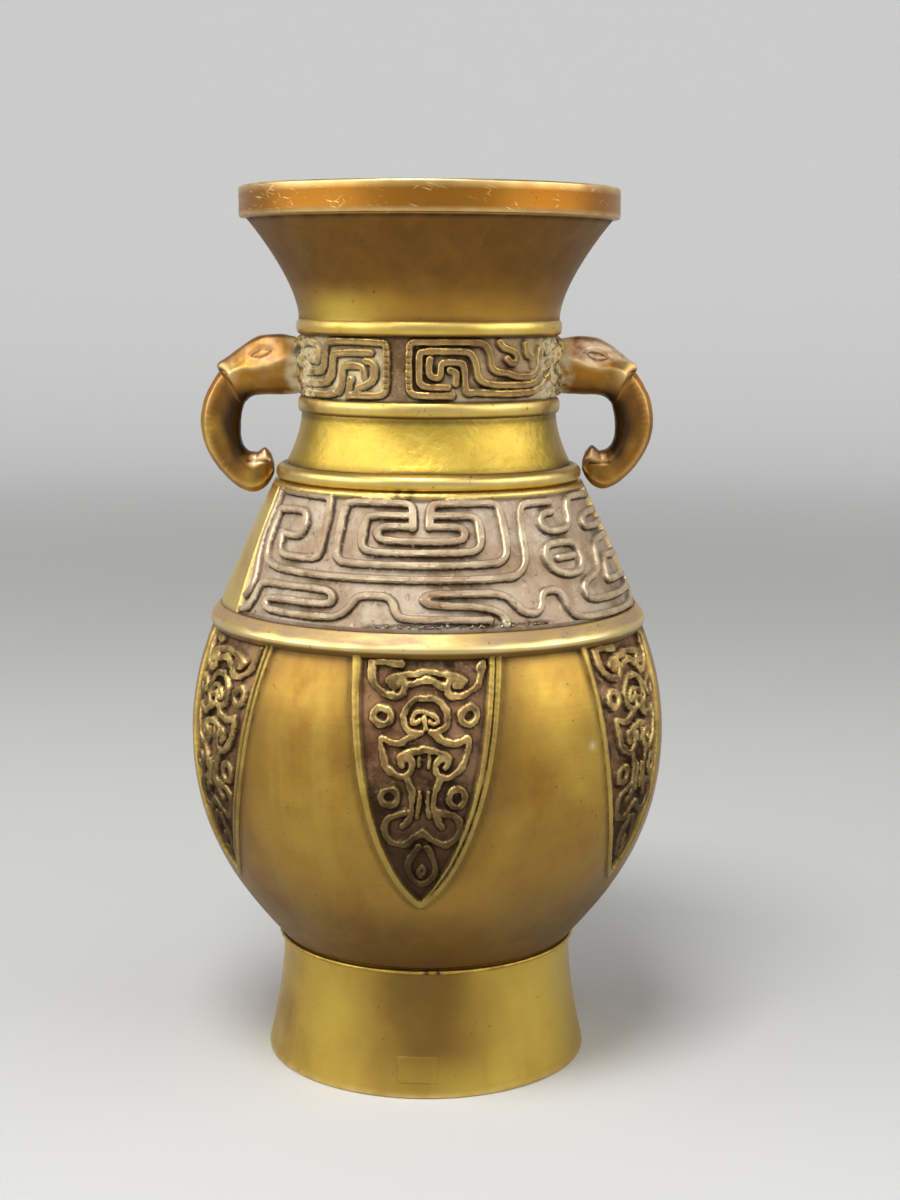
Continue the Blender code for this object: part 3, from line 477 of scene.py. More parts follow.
def near_heights(heights, places, width):
    """A mask that is 1 at the given heights and fades away from them."""
    gaps = np.min(np.abs(heights[:, None] - np.array(places)[None, :]), axis=1)
    return bell(gaps, width)[:, None]


class Finish:
    """A finish put together from nodes, with its colour laid on in coats."""

    def __init__(self, name):
        self.material = bpy.data.materials.new(name)
        self.material.use_nodes = True
        self.tree = self.material.node_tree
        self.shader = self.tree.nodes["Principled BSDF"]
        self.place = self.tree.nodes.new("ShaderNodeTexCoord").outputs["Object"]
        self.colour = None

    def put(self, value, socket):
        """Set a socket to a plain value, or link it to another node's output."""
        if isinstance(value, bpy.types.NodeSocket):
            self.tree.links.new(value, socket)
        elif isinstance(value, tuple):
            socket.default_value = (*value, 1.0)
        else:
            socket.default_value = value

    def noise(self, scale, detail=4.0, rough=0.55, stretch=None, tilt=0.0):
        """Noise over the vase, which may be drawn out along an axis and tilted."""
        node = self.tree.nodes.new("ShaderNodeTexNoise")
        node.inputs["Scale"].default_value = scale
        node.inputs["Detail"].default_value = detail
        node.inputs["Roughness"].default_value = rough
        place = self.place
        if stretch:
            mapping = self.tree.nodes.new("ShaderNodeMapping")
            mapping.vector_type = "TEXTURE"
            mapping.inputs["Rotation"].default_value = (0.0, math.radians(tilt), 0.0)
            mapping.inputs["Scale"].default_value = [1.0 / value for value in stretch]
            self.tree.links.new(place, mapping.inputs["Vector"])
            place = mapping.outputs["Vector"]
        self.tree.links.new(place, node.inputs["Vector"])
        return node.outputs["Fac"]

    def mask(self, name):
        """A mask that the mesh carries."""
        node = self.tree.nodes.new("ShaderNodeAttribute")
        node.attribute_name = name
        return node.outputs["Fac"]

    def span(self, value, low, high, to_low=0.0, to_high=1.0, shape="LINEAR"):
        """Map a value's range to another range, held at its ends."""
        node = self.tree.nodes.new("ShaderNodeMapRange")
        node.interpolation_type = shape
        for socket, number in zip(node.inputs, (value, low, high, to_low, to_high)):
            self.put(number, socket)
        return node.outputs["Result"]

    def maths(self, operation, first, second, clamp=True):
        """Two values joined by an operation."""
        node = self.tree.nodes.new("ShaderNodeMath")
        node.operation = operation
        node.use_clamp = clamp
        self.put(first, node.inputs[0])
        self.put(second, node.inputs[1])
        return node.outputs["Value"]

    def times(self, first, second):
        """Product of two values, held between 0 and 1."""
        return self.maths("MULTIPLY", first, second)

    def spots(self, scale, detail, rough, low, high, to_low=0.0, to_high=1.0):
        """Noise with its range mapped to another range."""
        return self.span(self.noise(scale, detail, rough), low, high, to_low, to_high)

    def mix(self, share, first, second):
        """Blend two colours."""
        node = self.tree.nodes.new("ShaderNodeMix")
        node.data_type = "RGBA"
        self.put(share, node.inputs[0])
        self.put(first, node.inputs[6])
        self.put(second, node.inputs[7])
        return node.outputs[2]

    def coat(self, share, colour):
        """Lay a share of a colour over the colour so far."""
        self.colour = self.mix(share, self.colour, colour)

    def bump(self, height, strength, distance_mm, under=None):
        """Fine unevenness of the surface, laid over an earlier one."""
        node = self.tree.nodes.new("ShaderNodeBump")
        node.inputs["Strength"].default_value = strength
        node.inputs["Distance"].default_value = distance_mm * MM
        self.tree.links.new(height, node.inputs["Height"])
        if under is not None:
            self.tree.links.new(under, node.inputs["Normal"])
        return node.outputs["Normal"]

    def done(self, rough, normal, metallic=1.0):
        """Feed the shader and hand over the material."""
        self.put(self.colour, self.shader.inputs["Base Color"])
        self.put(rough, self.shader.inputs["Roughness"])
        self.put(metallic, self.shader.inputs["Metallic"])
        self.put(normal, self.shader.inputs["Normal"])
        return self.material


# Colours, linear
GOLD = (0.576, 0.379, 0.067)
OLIVE = (0.552, 0.394, 0.082)
BROWN = (0.276, 0.138, 0.026)
COPPER = (0.396, 0.144, 0.012)
RIM_COPPER = (0.350, 0.155, 0.024)
DUSK = (0.186, 0.113, 0.036)
PALE_GOLD = (0.912, 0.720, 0.324)
BRIGHT = (0.744, 0.540, 0.132)
FOOT_GOLD = (0.625, 0.446, 0.078)
SOOT = (0.054, 0.032, 0.017)
INSIDE = (0.102, 0.066, 0.036)
TAUPE = (0.492, 0.406, 0.305)
TAUPE_DARK = (0.324, 0.234, 0.150)
TAUPE_TOP = (0.530, 0.416, 0.278)
MAUVE = (0.372, 0.258, 0.138)
MAUVE_DARK = (0.168, 0.096, 0.046)
COLLAR_TOP = (0.345, 0.222, 0.078)
UMBER = (0.315, 0.184, 0.100)
UMBER_DARK = (0.041, 0.023, 0.012)
LAPPET_TOP_COLOUR = (0.480, 0.330, 0.122)
RUST = (0.276, 0.126, 0.050)
ROSE = (0.960, 0.720, 0.500)
RING_PALE = (0.700, 0.565, 0.290)
RING_FILM = (0.430, 0.300, 0.175)
VERDIGRIS = (0.610, 0.525, 0.305)
CHALK = (0.888, 0.744, 0.444)
CONE_GOLD = (0.446, 0.324, 0.022)
TAUPE_EDGE = (0.920, 0.804, 0.528)
COLLAR_EDGE = (0.840, 0.576, 0.156)
LAPPET_EDGE = (0.800, 0.585, 0.215)
HANDLE_COPPER = (0.384, 0.162, 0.024)
SOLDER_GREY = (0.720, 0.640, 0.420)


def body_finish():
    """Polished body: mottled gold and brown with fine turning lines and pits, dirt with painted shade along
    the rings and low down, tarnishing with painted shade, and painted highlights where a mask asks for them.
    """
    f = Finish("cast_bronze_polished")
    clouds = f.spots(24, 5, 0.6, 0.38, 0.64)
    patches = f.spots(9, 3, 0.5, 0.45, 0.68)
    lines = f.noise(1.0, 3, 0.6, (5, 5, 1900))
    specks = f.spots(760, 2, 0.5, 0.70, 0.77)
    scuffs = 0.0
    for tilt, least in ((16.0, 0.645), (-41.0, 0.665), (63.0, 0.68)):
        lines_across = f.noise(1.0, 2, 0.5, (150 + tilt, 150 + tilt, 2300), tilt)
        scratch = f.span(lines_across, least, least + 0.045, 0.0, 0.8)
        scuffs = f.maths("MAXIMUM", scratch, scuffs)
    scuffs = f.times(scuffs, f.spots(75, 3, 0.6, 0.47, 0.57))
    scuffs = f.times(scuffs, f.span(f.mask("rim_band"), 0.7, 1.0))
    f.colour = f.mix(clouds, BROWN, GOLD)
    f.coat(f.times(patches, 0.65), OLIVE)
    streaks = f.span(f.noise(1.0, 4, 0.6, (75, 75, 9)), 0.42, 0.64, 0.0, 0.55)
    f.coat(streaks, f.mix(patches, OLIVE, BROWN))
    # Tarnishing, partly painted shade, in dark browns
    tarnish_and_shade = f.times(f.mask("tarnish_and_shade"), f.spots(17, 4, 0.55, 0.3, 0.7, 0.65, 1.0))
    f.coat(tarnish_and_shade, f.mix(f.spots(31, 4, 0.6, 0.42, 0.62, 0.3, 0.8), DUSK, BROWN))
    f.coat(f.span(lines, 0.3, 0.7, 0.0, 0.18), BROWN)
    # Painted highlight: a paler gold on the mouth's lower flare and the foot's sides
    painted_highlight = f.times(f.mask("painted_highlight"), f.spots(28, 4, 0.6, 0.36, 0.58, 0.35, 1.0))
    f.coat(painted_highlight, FOOT_GOLD)
    copper = f.mix(f.span(clouds, 0.0, 1.0, 0.0, 0.7), RIM_COPPER, COPPER)
    f.coat(f.mask("rim_band"), f.mix(scuffs, copper, PALE_GOLD))
    f.coat(f.mask("wear_and_highlight"), PALE_GOLD)
    f.coat(f.times(specks, 0.6), SOOT)
    # Dirt and painted shade, near black
    grime_and_shade = f.times(f.mask("grime_and_shade"), f.spots(160, 4, 0.6, 0.3, 0.6, 0.70, 1.0))
    f.coat(grime_and_shade, SOOT)
    f.coat(f.times(f.mask("inside"), 0.85), INSIDE)
    f.coat(f.mask("stain"), VERDIGRIS)
    rough = f.span(clouds, 0.0, 1.0, 0.41, 0.34)
    rough = f.maths("ADD", rough, f.times(grime_and_shade, 0.3))
    normal = f.bump(lines, 0.10, 0.10)
    normal = f.bump(f.noise(75, 4, 0.5), 0.10, 0.5, normal)
    normal = f.bump(f.maths("SUBTRACT", 1.0, specks), 0.35, 0.10, normal)
    return f.done(rough, normal)


def relief_finish(name, ground, dark, top, edge, sheen):
    """Relief: a film over its ground, duller tops, edges made paler by rubbing and by painted highlight on
    their upper left, and feet of the strokes darkened by dirt and by painted shade, most on their lower
    right.
    """
    f = Finish(name)
    clouds = f.noise(85, 5, 0.65)
    wear = f.spots(170, 3, 0.55, 0.36, 0.64)
    uneven = f.spots(600, 2, 0.5, 0.3, 0.7, -0.10, 0.10)
    beyond = f.maths("ADD", f.mask("stroke"), uneven, clamp=False)
    crest = f.span(beyond, 0.10, -0.10)
    # Painted light: strokes get more painted shade at their feet on the lower right, and more painted
    # highlight on their edges at the upper left
    shadow_side = f.mask("shadow_side")
    lip = f.times(f.span(beyond, -0.44, -0.18), f.span(beyond, 0.06, -0.08))
    lip = f.times(lip, f.span(shadow_side, 0.6, -0.4, 0.30, 1.0))
    foot = f.times(f.span(beyond, 0.02, 0.26), f.span(beyond, 0.95, 0.40))
    foot = f.times(foot, f.span(shadow_side, -0.5, 0.5, 0.30, 1.0))
    field = f.mix(f.span(clouds, 0.40, 0.60), dark, ground)
    field = f.mix(f.spots(38, 3, 0.5, 0.50, 0.66, 0.0, 0.35), field, RUST)
    chalk = f.times(f.mask("chalk"), f.spots(120, 4, 0.6, 0.36, 0.56, 0.3, 1.0))
    field = f.mix(chalk, field, CHALK)
    field = f.mix(f.times(foot, 0.95), field, UMBER_DARK)
    # Painted shade in the narrow ground where strokes crowd
    field = f.mix(f.times(f.mask("channel"), 0.95), field, UMBER_DARK)
    crown = f.mix(f.span(wear, 0.0, 1.0, 0.15, 1.0), dark, top)
    crown = f.mix(f.spots(64, 3, 0.5, 0.50, 0.64, 0.0, 0.40), crown, RUST)
    f.colour = f.mix(crest, field, crown)
    grain = f.noise(560, 5, 0.7)
    f.coat(f.span(grain, 0.42, 0.30, 0.0, 0.70), UMBER_DARK)
    rubbing_and_highlight = f.times(lip, f.span(wear, 0.0, 1.0, 0.30, 0.85))
    f.coat(f.span(grain, 0.60, 0.72, 0.0, 0.45), edge)
    f.coat(rubbing_and_highlight, edge)
    f.coat(f.times(f.times(chalk, crest), 0.12), CHALK)
    dull = f.times(f.mask("dull"), 0.86)
    f.coat(dull, UMBER_DARK)
    plain = f.mix(f.spots(26, 4, 0.6, 0.4, 0.62), BROWN, GOLD)
    plain = f.mix(f.spots(70, 4, 0.6, 0.40, 0.60, 0.25, 0.9), plain, OLIVE)
    plain = f.mix(0.30, plain, sheen)
    plain = f.mix(f.span(grain, 0.40, 0.28, 0.0, 0.6), plain, BROWN)
    f.coat(f.mask("plain"), plain)
    crust = f.times(f.mask("verdigris"), f.spots(240, 4, 0.6, 0.40, 0.56))
    crust = f.times(crust, f.span(foot, 0.0, 1.0, 1.0, 0.25))
    f.coat(crust, VERDIGRIS)
    # Dirt and painted shade under rings and in hollows, near black
    f.coat(f.times(f.mask("grime_and_shade"), 0.85), SOOT)
    f.coat(f.times(f.mask("inside"), 0.85), INSIDE)
    rough = f.span(rubbing_and_highlight, 0.0, 1.0, 0.52, 0.38)
    rough = f.maths("SUBTRACT", rough, f.times(f.mask("plain"), 0.12))
    rough = f.maths("ADD", rough, f.times(crust, 0.3))
    normal = f.bump(grain, 0.45, 0.25)
    normal = f.bump(f.noise(330, 4, 0.6), 0.42, 0.34, normal)
    normal = f.bump(clouds, 0.30, 0.40, normal)
    bare = f.maths("ADD", f.maths("ADD", rubbing_and_highlight, f.mask("plain")), 0.42)
    f.shader.inputs["Specular IOR Level"].default_value = 0.0
    metallic = f.maths("SUBTRACT", bare, f.times(crust, 0.7))
    return f.done(rough, normal, metallic)


def ring_finish():
    """Bright rings, paler along their crests from rubbing and from painted highlight."""
    f = Finish("ring_brass_rubbed")
    clouds = f.spots(60, 4, 0.6, 0.36, 0.66)
    lines = f.noise(1.0, 3, 0.6, (9, 9, 2400))
    f.colour = f.mix(clouds, GOLD, BRIGHT)
    f.coat(f.mask("wear_and_highlight"), RING_PALE)
    film_bands = f.noise(1.0, 4, 0.6, (70, 70, 420))
    film = f.times(f.mask("film"), f.span(film_bands, 0.36, 0.58, 0.5, 1.0))
    f.coat(film, RING_FILM)
    # Dirt and painted shade along the rings' edges and undersides
    f.coat(f.times(f.mask("grime_and_shade"), 0.9), f.mix(0.45, BROWN, SOOT))
    f.coat(f.spots(520, 2, 0.5, 0.67, 0.75, 0.0, 0.7), SOOT)
    normal = f.bump(lines, 0.12, 0.10)
    normal = f.bump(f.noise(140, 4, 0.5), 0.12, 0.4, normal)
    rough = f.maths("ADD", f.span(clouds, 0.0, 1.0, 0.38, 0.30), f.times(film, 0.28))
    return f.done(rough, normal)


def handle_finish():
    """Handles: blotched orange-brown sides, rosy upper planes from rubbing and from painted highlight, and
    painted shade in the folds, under the head and along the throat.
    """
    f = Finish("handle_bronze_rubbed")
    clouds = f.spots(95, 6, 0.65, 0.36, 0.62)
    f.colour = f.mix(clouds, BROWN, HANDLE_COPPER)
    f.coat(f.spots(60, 5, 0.6, 0.50, 0.66, 0.0, 0.65), GOLD)
    # Painted highlight with some rubbing, on the upper planes
    upper = f.times(f.mask("upper"), f.spots(130, 5, 0.65, 0.38, 0.58, 0.20, 1.0))
    f.coat(upper, ROSE)
    f.coat(f.times(f.mask("edge"), 0.75), PALE_GOLD)
    dirt = f.spots(210, 5, 0.65, 0.54, 0.68, 0.0, 0.55)
    f.coat(dirt, UMBER)
    f.coat(f.mask("shade"), SOOT)
    crust = f.times(f.mask("verdigris"), f.spots(260, 4, 0.6, 0.36, 0.58))
    f.coat(crust, VERDIGRIS)
    rough = f.maths("ADD", f.span(clouds, 0.0, 1.0, 0.50, 0.40), f.times(crust, 0.3))
    normal = f.bump(f.noise(150, 6, 0.6), 0.35, 0.5)
    normal = f.bump(f.noise(700, 3, 0.5), 0.20, 0.12, normal)
    return f.done(rough, normal, f.span(crust, 0.0, 1.0, 1.0, 0.3))


def solder_finish():
    """Old solder: grey-green crust with bare metal showing through."""
    f = Finish("solder_crusted")
    crust = f.spots(210, 5, 0.65, 0.40, 0.60)
    f.colour = f.mix(crust, f.mix(f.spots(90, 3, 0.5, 0.4, 0.6), GOLD, BROWN), VERDIGRIS)
    f.coat(f.spots(420, 3, 0.6, 0.56, 0.66, 0.0, 0.85), SOLDER_GREY)
    f.coat(f.spots(300, 4, 0.6, 0.49, 0.37, 0.0, 0.9), UMBER_DARK)
    f.coat(f.mask("shade"), SOOT)
    normal = f.bump(f.noise(400, 5, 0.65), 0.8, 0.5)
    return f.done(f.span(crust, 0.0, 1.0, 0.45, 0.75), normal, f.span(crust, 0.0, 1.0, 0.9, 0.2))


def seam_finish():
    """Solder bead in the seam: tarnished gold, dark in its pinholes."""
    f = Finish("seam_solder_tarnished")
    clouds = f.spots(190, 4, 0.6, 0.35, 0.62)
    f.colour = f.mix(f.span(clouds, 0.0, 1.0, 0.3, 0.9), DUSK, GOLD)
    f.coat(f.mask("shade"), SOOT)
    normal = f.bump(f.noise(420, 4, 0.6), 0.3, 0.2)
    return f.done(f.span(clouds, 0.0, 1.0, 0.5, 0.38), normal)


def plate_finish():
    """Underside plate: brown, with dull spots."""
    f = Finish("plate_bronze_dull")
    clouds = f.spots(48, 5, 0.6, 0.36, 0.64)
    f.colour = f.mix(clouds, INSIDE, BROWN)
    f.coat(f.spots(300, 3, 0.6, 0.6, 0.7, 0.0, 0.6), SOOT)
    normal = f.bump(f.noise(260, 4, 0.6), 0.3, 0.2)
    return f.done(f.span(clouds, 0.0, 1.0, 0.62, 0.48), normal)


BODY = body_finish()
SHOULDER = relief_finish("shoulder_bronze_worn", TAUPE, TAUPE_DARK, TAUPE_TOP, TAUPE_EDGE, PALE_GOLD)
NECK = relief_finish("neck_bronze_worn", MAUVE, MAUVE_DARK, COLLAR_TOP, COLLAR_EDGE, CONE_GOLD)
LAPPET = relief_finish("lappet_bronze_worn", UMBER, UMBER_DARK, LAPPET_TOP_COLOUR, LAPPET_EDGE, BRIGHT)
RING = ring_finish()
HANDLE = handle_finish()
SOLDER = solder_finish()
SEAM = seam_finish()
PLATE = plate_finish()


def inside_of(outer, wall, low, high):
    """The inside of a wall, from the bottom up."""
    line = outer - wall * outward(outer)
    line = line[(line[:, 1] > low) & (line[:, 1] < high)]
    return line[::-1]


def build_mouth():
    """Rim band with a rounded lip, and the flaring mouth below it."""
    ring_top = RINGS["neck_ring_upper"][1]
    flare = evenly(bezier((FLARE_TOP, Z_RIM), (FLARE_BOTTOM, ring_top), FLARE_BEND, 40), 44)
    turn = np.radians(np.linspace(90, 0, 6))
    edge = 0.7
    corner = np.stack([RIM_RADIUS - edge + edge * np.cos(turn), Z_TOP - edge + edge * np.sin(turn)], 1)
    band = [(RIM_RADIUS, Z_TOP - 2.4), (RIM_RADIUS - 0.05, Z_TOP - 4.0), (RIM_RADIUS, Z_RIM + 1.6),
            (RIM_RADIUS, Z_RIM + 0.5), (RIM_RADIUS - 0.15, Z_RIM + 0.15), (RIM_RADIUS - 0.5, Z_RIM),
            (FLARE_TOP + 0.4, Z_RIM + 0.05)]
    spigot = [[FLARE_BOTTOM, Z_UPPER + 0.4], [MOUTH_END, Z_UPPER]]
    outer = np.concatenate([corner, np.array(band), flare, spigot])
    rim_bore = RIM_RADIUS - RIM_WALL
    lip = [[rim_bore - 0.6, Z_TOP - 1.4], [rim_bore, Z_TOP - 0.3], [rim_bore + 0.5, Z_TOP],
           [RIM_RADIUS - 2.2, Z_TOP]]
    hollow = inside_of(flare, WALL, ring_top - 0.5, Z_TOP - 3.0)
    inner = np.concatenate([[[NECK_BORE, Z_UPPER]], hollow, lip])
    columns = 220
    heights = outer[:, 1]
    z = heights[:, None]
    around = column_angles(columns)[None, :]
    on_band = (z > Z_RIM - 0.2).astype(float) * np.ones((1, columns))
    patchy = 0.75 + 0.35 * ripple(around, z * 3.0, 3)
    wear_and_highlight = near_heights(heights, [Z_TOP - 0.2], 0.7) * patchy
    wear_and_highlight = wear_and_highlight + 0.6 * near_heights(heights, [Z_RIM + 0.4], 0.45) * patchy
    # Painted shade under the rim band, dirt and painted shade above the upper neck ring, and painted shade
    # darkening the flare towards its top
    grime_and_shade = near_heights(heights, [Z_RIM - 0.6], 0.8)
    grime_and_shade = np.maximum(grime_and_shade, 0.6 * near_heights(heights, [ring_top], 0.8))
    grime_and_shade = np.maximum(grime_and_shade, 0.52 * smooth(z + 3.0 * ripple(around * 0.3, z, 4), 205.0, 218.0))
    # Tarnishing with painted shade, stronger up the flare
    tarnish_and_shade = 0.35 + 0.6 * smooth(z + 2.5 * ripple(around * 0.4, z, 5), 206.0, 217.0)
    # Painted highlight on the lower left of the flare
    painted_highlight = 0.85 * bell(around - MOUTH_HIGHLIGHT[0], MOUTH_HIGHLIGHT[1]) * (1 - smooth(z, 207.5, 216.0))
    masks = {"rim_band": on_band + 0.45 * (1 - on_band) * (1 - painted_highlight), "wear_and_highlight": np.clip(wear_and_highlight, 0, 1),
             "grime_and_shade": grime_and_shade * (1.0 - on_band) * (1 - painted_highlight),
             "tarnish_and_shade": tarnish_and_shade * (1 - on_band) * (1 - painted_highlight), "painted_highlight": painted_highlight}
    turned("mouth", outer, inner, columns, BODY, "mouth_section", masks=masks)


# Section of the girdle ring: height and reach as shares, from the top down
GIRDLE_SECTION = ((1.00, 0.06), (0.97, 0.20), (0.55, 0.55), (0.15, 0.86), (-0.08, 0.98), (-0.25, 1.04),
                  (-0.42, 1.05), (-0.58, 1.01), (-0.74, 0.92), (-0.88, 0.84), (-1.00, 0.78))

# How pale each ring's crest is, from rubbing and from painted highlight, and at which share of its half
# height the crest lies
RING_CRESTS = {"neck_ring_upper": (0.12, 0.20), "neck_ring_lower": (0.40, 0.20),
               "shoulder_ring": (0.50, 0.25), "girdle_ring": (0.85, -0.22)}


def build_ring(node, columns=240):
    """A half-round ring, bright along its crest from rubbing and from painted highlight, and dark along its
    edges from dirt and from painted shade.
    """
    low, high, radius = RINGS[node]
    inner_radius = RING_SEATS[node]
    is_girdle = node == "girdle_ring"
    middle, half = (low + high) / 2, (high - low) / 2
    turn = np.radians(np.linspace(90, -90, 21))
    power = 2 / 2.3
    bulge = radius - inner_radius - 0.2
    outer = np.stack([inner_radius + 0.2 + bulge * np.cos(turn) ** power,
                      middle + half * np.sign(np.sin(turn)) * np.abs(np.sin(turn)) ** power], 1)
    if is_girdle:
        heights, reach = np.array(GIRDLE_SECTION).T
        outer = evenly(np.stack([inner_radius + bulge * reach, middle + half * heights], 1), 25)
    inner = [(inner_radius, low), (inner_radius, middle), (inner_radius, high)]
    around = column_angles(columns)[None, :]
    share = (outer[:, 1] - middle)[:, None] / half
    lift = -0.05 + 0.05 * ripple(around * 1.3, share * 2.0, radius)
    paleness, crest = RING_CRESTS[node]
    wear_and_highlight = paleness * bell(share - crest, 0.38)
    wear_and_highlight = wear_and_highlight * (0.95 + 0.55 * ripple(around * 0.9, share, 7))
    # Dirt and painted shade along the top edge and over the underside
    brown_from = 0.36 if is_girdle else 0.50
    grime_and_shade = np.maximum(smooth(share, 0.92, 1.0), smooth(-share, brown_from, brown_from + 0.28))
    grime_and_shade = grime_and_shade * np.ones((1, columns))
    patchy = share + 0.25 * ripple(around * 0.8, share * 3.0, 36)
    filmed = 1.0 if is_girdle else 0.35
    film = filmed * smooth(patchy, crest + 0.15, crest + 0.45)
    turned(node + "_bright", outer, inner, columns, RING, node, lift=lift,
           masks={"wear_and_highlight": np.clip(wear_and_highlight, 0, 1), "grime_and_shade": grime_and_shade, "film": film})


def stroke_relief(distance, half_width, flank, rise, uneven, crown=-0.10):
    """Height of a relief, and the distance beyond the edges of its strokes.

    A crown above 0 rounds the tops of the strokes, and one below 0 dishes them.
    """
    width = half_width * (1.0 + 0.10 * uneven)
    body = 1.0 - smooth(distance, width - flank * 0.6, width + flank)
    inward = 1.0 - np.clip(distance / width, 0, 1) ** 2
    top = 1.0 + crown * (inward - max(crown, 0.0) / max(abs(crown), 1e-9))
    return rise * body * top * (1.0 + 0.08 * uneven), np.clip(distance - width, -1.5, 1.5)


def crowding(height, rise, row_step, column_step, reach=2.2):
    """How closely strokes stand round each point, from 0 to 1."""
    share = np.clip(height / rise, 0.0, 1.0)
    for axis, step in enumerate((row_step, column_step)):
        half = max(1, round(reach / step))
        share = sum(np.roll(share, k, axis) for k in range(-half, half + 1)) / (2 * half + 1)
    return share


def shadow_side_of(distance, row_step, column_step):
    """How far a point lies below and to the right of its stroke, from -1 to 1, which places the painted shade
    and painted highlight of the relief; rows run down.
    """
    down = np.gradient(distance, axis=0) / row_step
    right = np.gradient(distance, axis=1) / column_step
    return np.clip(0.9 * down + 0.4 * right, -1.0, 1.0)


def both_halves(motif):
    """Strokes of a motif with round corners, on both halves of the girth."""
    strokes = [rounded(stroke) for stroke in motif]
    return strokes + [stroke + np.array([180.0, 0.0]) for stroke in strokes]


def padded(masks, pad):
    """Masks with their first and last rows repeated."""
    return {name: np.pad(values, pad, mode="edge") for name, values in masks.items()}


def build_shoulder():
    """Sloping shoulder with its fret in relief."""
    columns, rows, start = 840, 100, STRIP_TOP[0]
    ring_low, ring_high = RINGS["shoulder_ring"][0], RINGS["girdle_ring"][1]
    slope = evenly(bezier((SHOULDER_TOP, ring_low), (SHOULDER_BOTTOM, ring_high), SHOULDER_BEND, 60), rows)
    angles, heights = column_angles(columns, start), slope[:, 1]
    around, z = angles[None, :], heights[:, None]
    scale = np.radians(1.0) * slope[:, 0]
    unit = scale[:, None]
    row_step = np.linalg.norm(slope[1] - slope[0])
    uneven = ripple(around * 0.9, z, 2)
    distance = nearest_stroke(angles, heights, scale, both_halves(SHOULDER_STROKES))
    # Lower right of each stroke for painted shade, upper left for painted highlight
    shadow_side = shadow_side_of(distance, row_step, unit * 360.0 / columns)
    steepness = np.abs(np.gradient(distance, axis=0) / row_step).clip(0, 1)
    distance = distance * (1.0 + 0.40 * steepness) + chips(around * unit, z, 5)
    height, beyond = stroke_relief(distance, SHOULDER_STROKE, SHOULDER_FLANK, SHOULDER_RISE, uneven)
    crowded = crowding(height, SHOULDER_RISE, row_step, scale.mean() * 360.0 / columns)
    # Painted shade in the ground where strokes crowd
    channel = 0.45 * smooth(crowded, 0.42, 0.62)
    # Plain strip between the halves, and the plain fillet under the ring
    drop = (heights[0] - z) / (heights[0] - heights[-1])
    left, right = [high + (low - high) * drop for high, low in zip(STRIP_TOP, STRIP_BOTTOM)]
    plain = np.zeros_like(height)
    for turn in (0.0, 180.0, 360.0):
        inside = np.minimum(around - left - turn, right + turn - around) * unit
        plain = np.maximum(plain, smooth(inside, -0.3, 0.5))
    fillet = smooth(z, ring_low - 1.5, ring_low - 0.9)
    plain = np.maximum(plain, fillet)
    height = height * (1 - plain) + 0.75 * SHOULDER_RISE * plain
    # Ragged flash above the girdle ring with a crack along it, and the flaw in the fillet
    jag = ripple(around * 5.9, z * 0.4, 51) * ripple(around * 2.3, z * 0.0, 52)
    ragged = 0.6 * ripple(around * 2.7, z * 0.4, 9) + 2.0 * jag
    flash = bell(z - FLASH_HEIGHT - 0.7 * ragged, 0.40)
    breaks = ripple(around * 3.1, around * 0.0, 33) + 0.5 * ripple(around * 9.0, around * 0.0, 34)
    along_flash = smooth(np.cos(np.radians(2 * (around - 10.0))), 0.50, 0.75)
    flash = flash * smooth(breaks, -0.20, 0.10) * along_flash * (1 - plain)
    height = np.maximum(height, flash)
    beyond = beyond * (1 - flash) - 0.20 * flash
    crack = bell(z - FLASH_HEIGHT - 0.35 - 0.5 * ragged, 0.40)
    crack = crack * along_flash * (1 - smooth(z, 130.3, 130.8)) * (1 - flash)
    flaw = sum(bell(around - place, width) for place, width in FLAWS)
    crack = np.maximum(crack, 0.75 * fillet * flaw)
    floor_grain = 0.05 * ripple(around * 5.3, z * 5.1, 4)
    lift = height - SHOULDER_RISE * 0.62 + floor_grain * smooth(beyond, 0.0, 0.3)
    upper_end = [[SHOULDER_ENDS[0], Z_SHOULDER - 0.2], [SHOULDER_TOP - 0.6, ring_low + 0.1]]
    lower_end = [[SHOULDER_BOTTOM - 0.6, ring_high - 0.1], [SHOULDER_ENDS[1], Z_GIRDLE + 0.2]]
    outer = np.concatenate([upper_end, slope, lower_end])
    hollow = inside_of(evenly(slope, 10), SHOULDER_WALL, ring_high + 1, ring_low - 1)
    inner = np.concatenate([[[SHOULDER_BORES[1], Z_GIRDLE]], hollow, [[SHOULDER_BORES[0], Z_SHOULDER]]])
    # Dirt and painted shade under the shoulder ring and above the girdle ring, and the dark crack and flaw
    grime_and_shade = near_heights(heights, [ring_low - 1.5], 0.3)
    grime_and_shade = np.maximum(grime_and_shade, near_heights(heights, [ring_high], 0.4))
    masks = {"stroke": beyond * (1 - plain) + 1.5 * plain, "plain": plain, "shadow_side": shadow_side, "channel": channel,
             "grime_and_shade": np.clip(0.5 * grime_and_shade + 1.1 * crack, 0, 1)}
    pad = ((2, 2), (0, 0))
    turned("shoulder", outer, inner, columns, SHOULDER, "shoulder_section", start,
           np.pad(lift, pad), padded(masks, pad), crease=75)


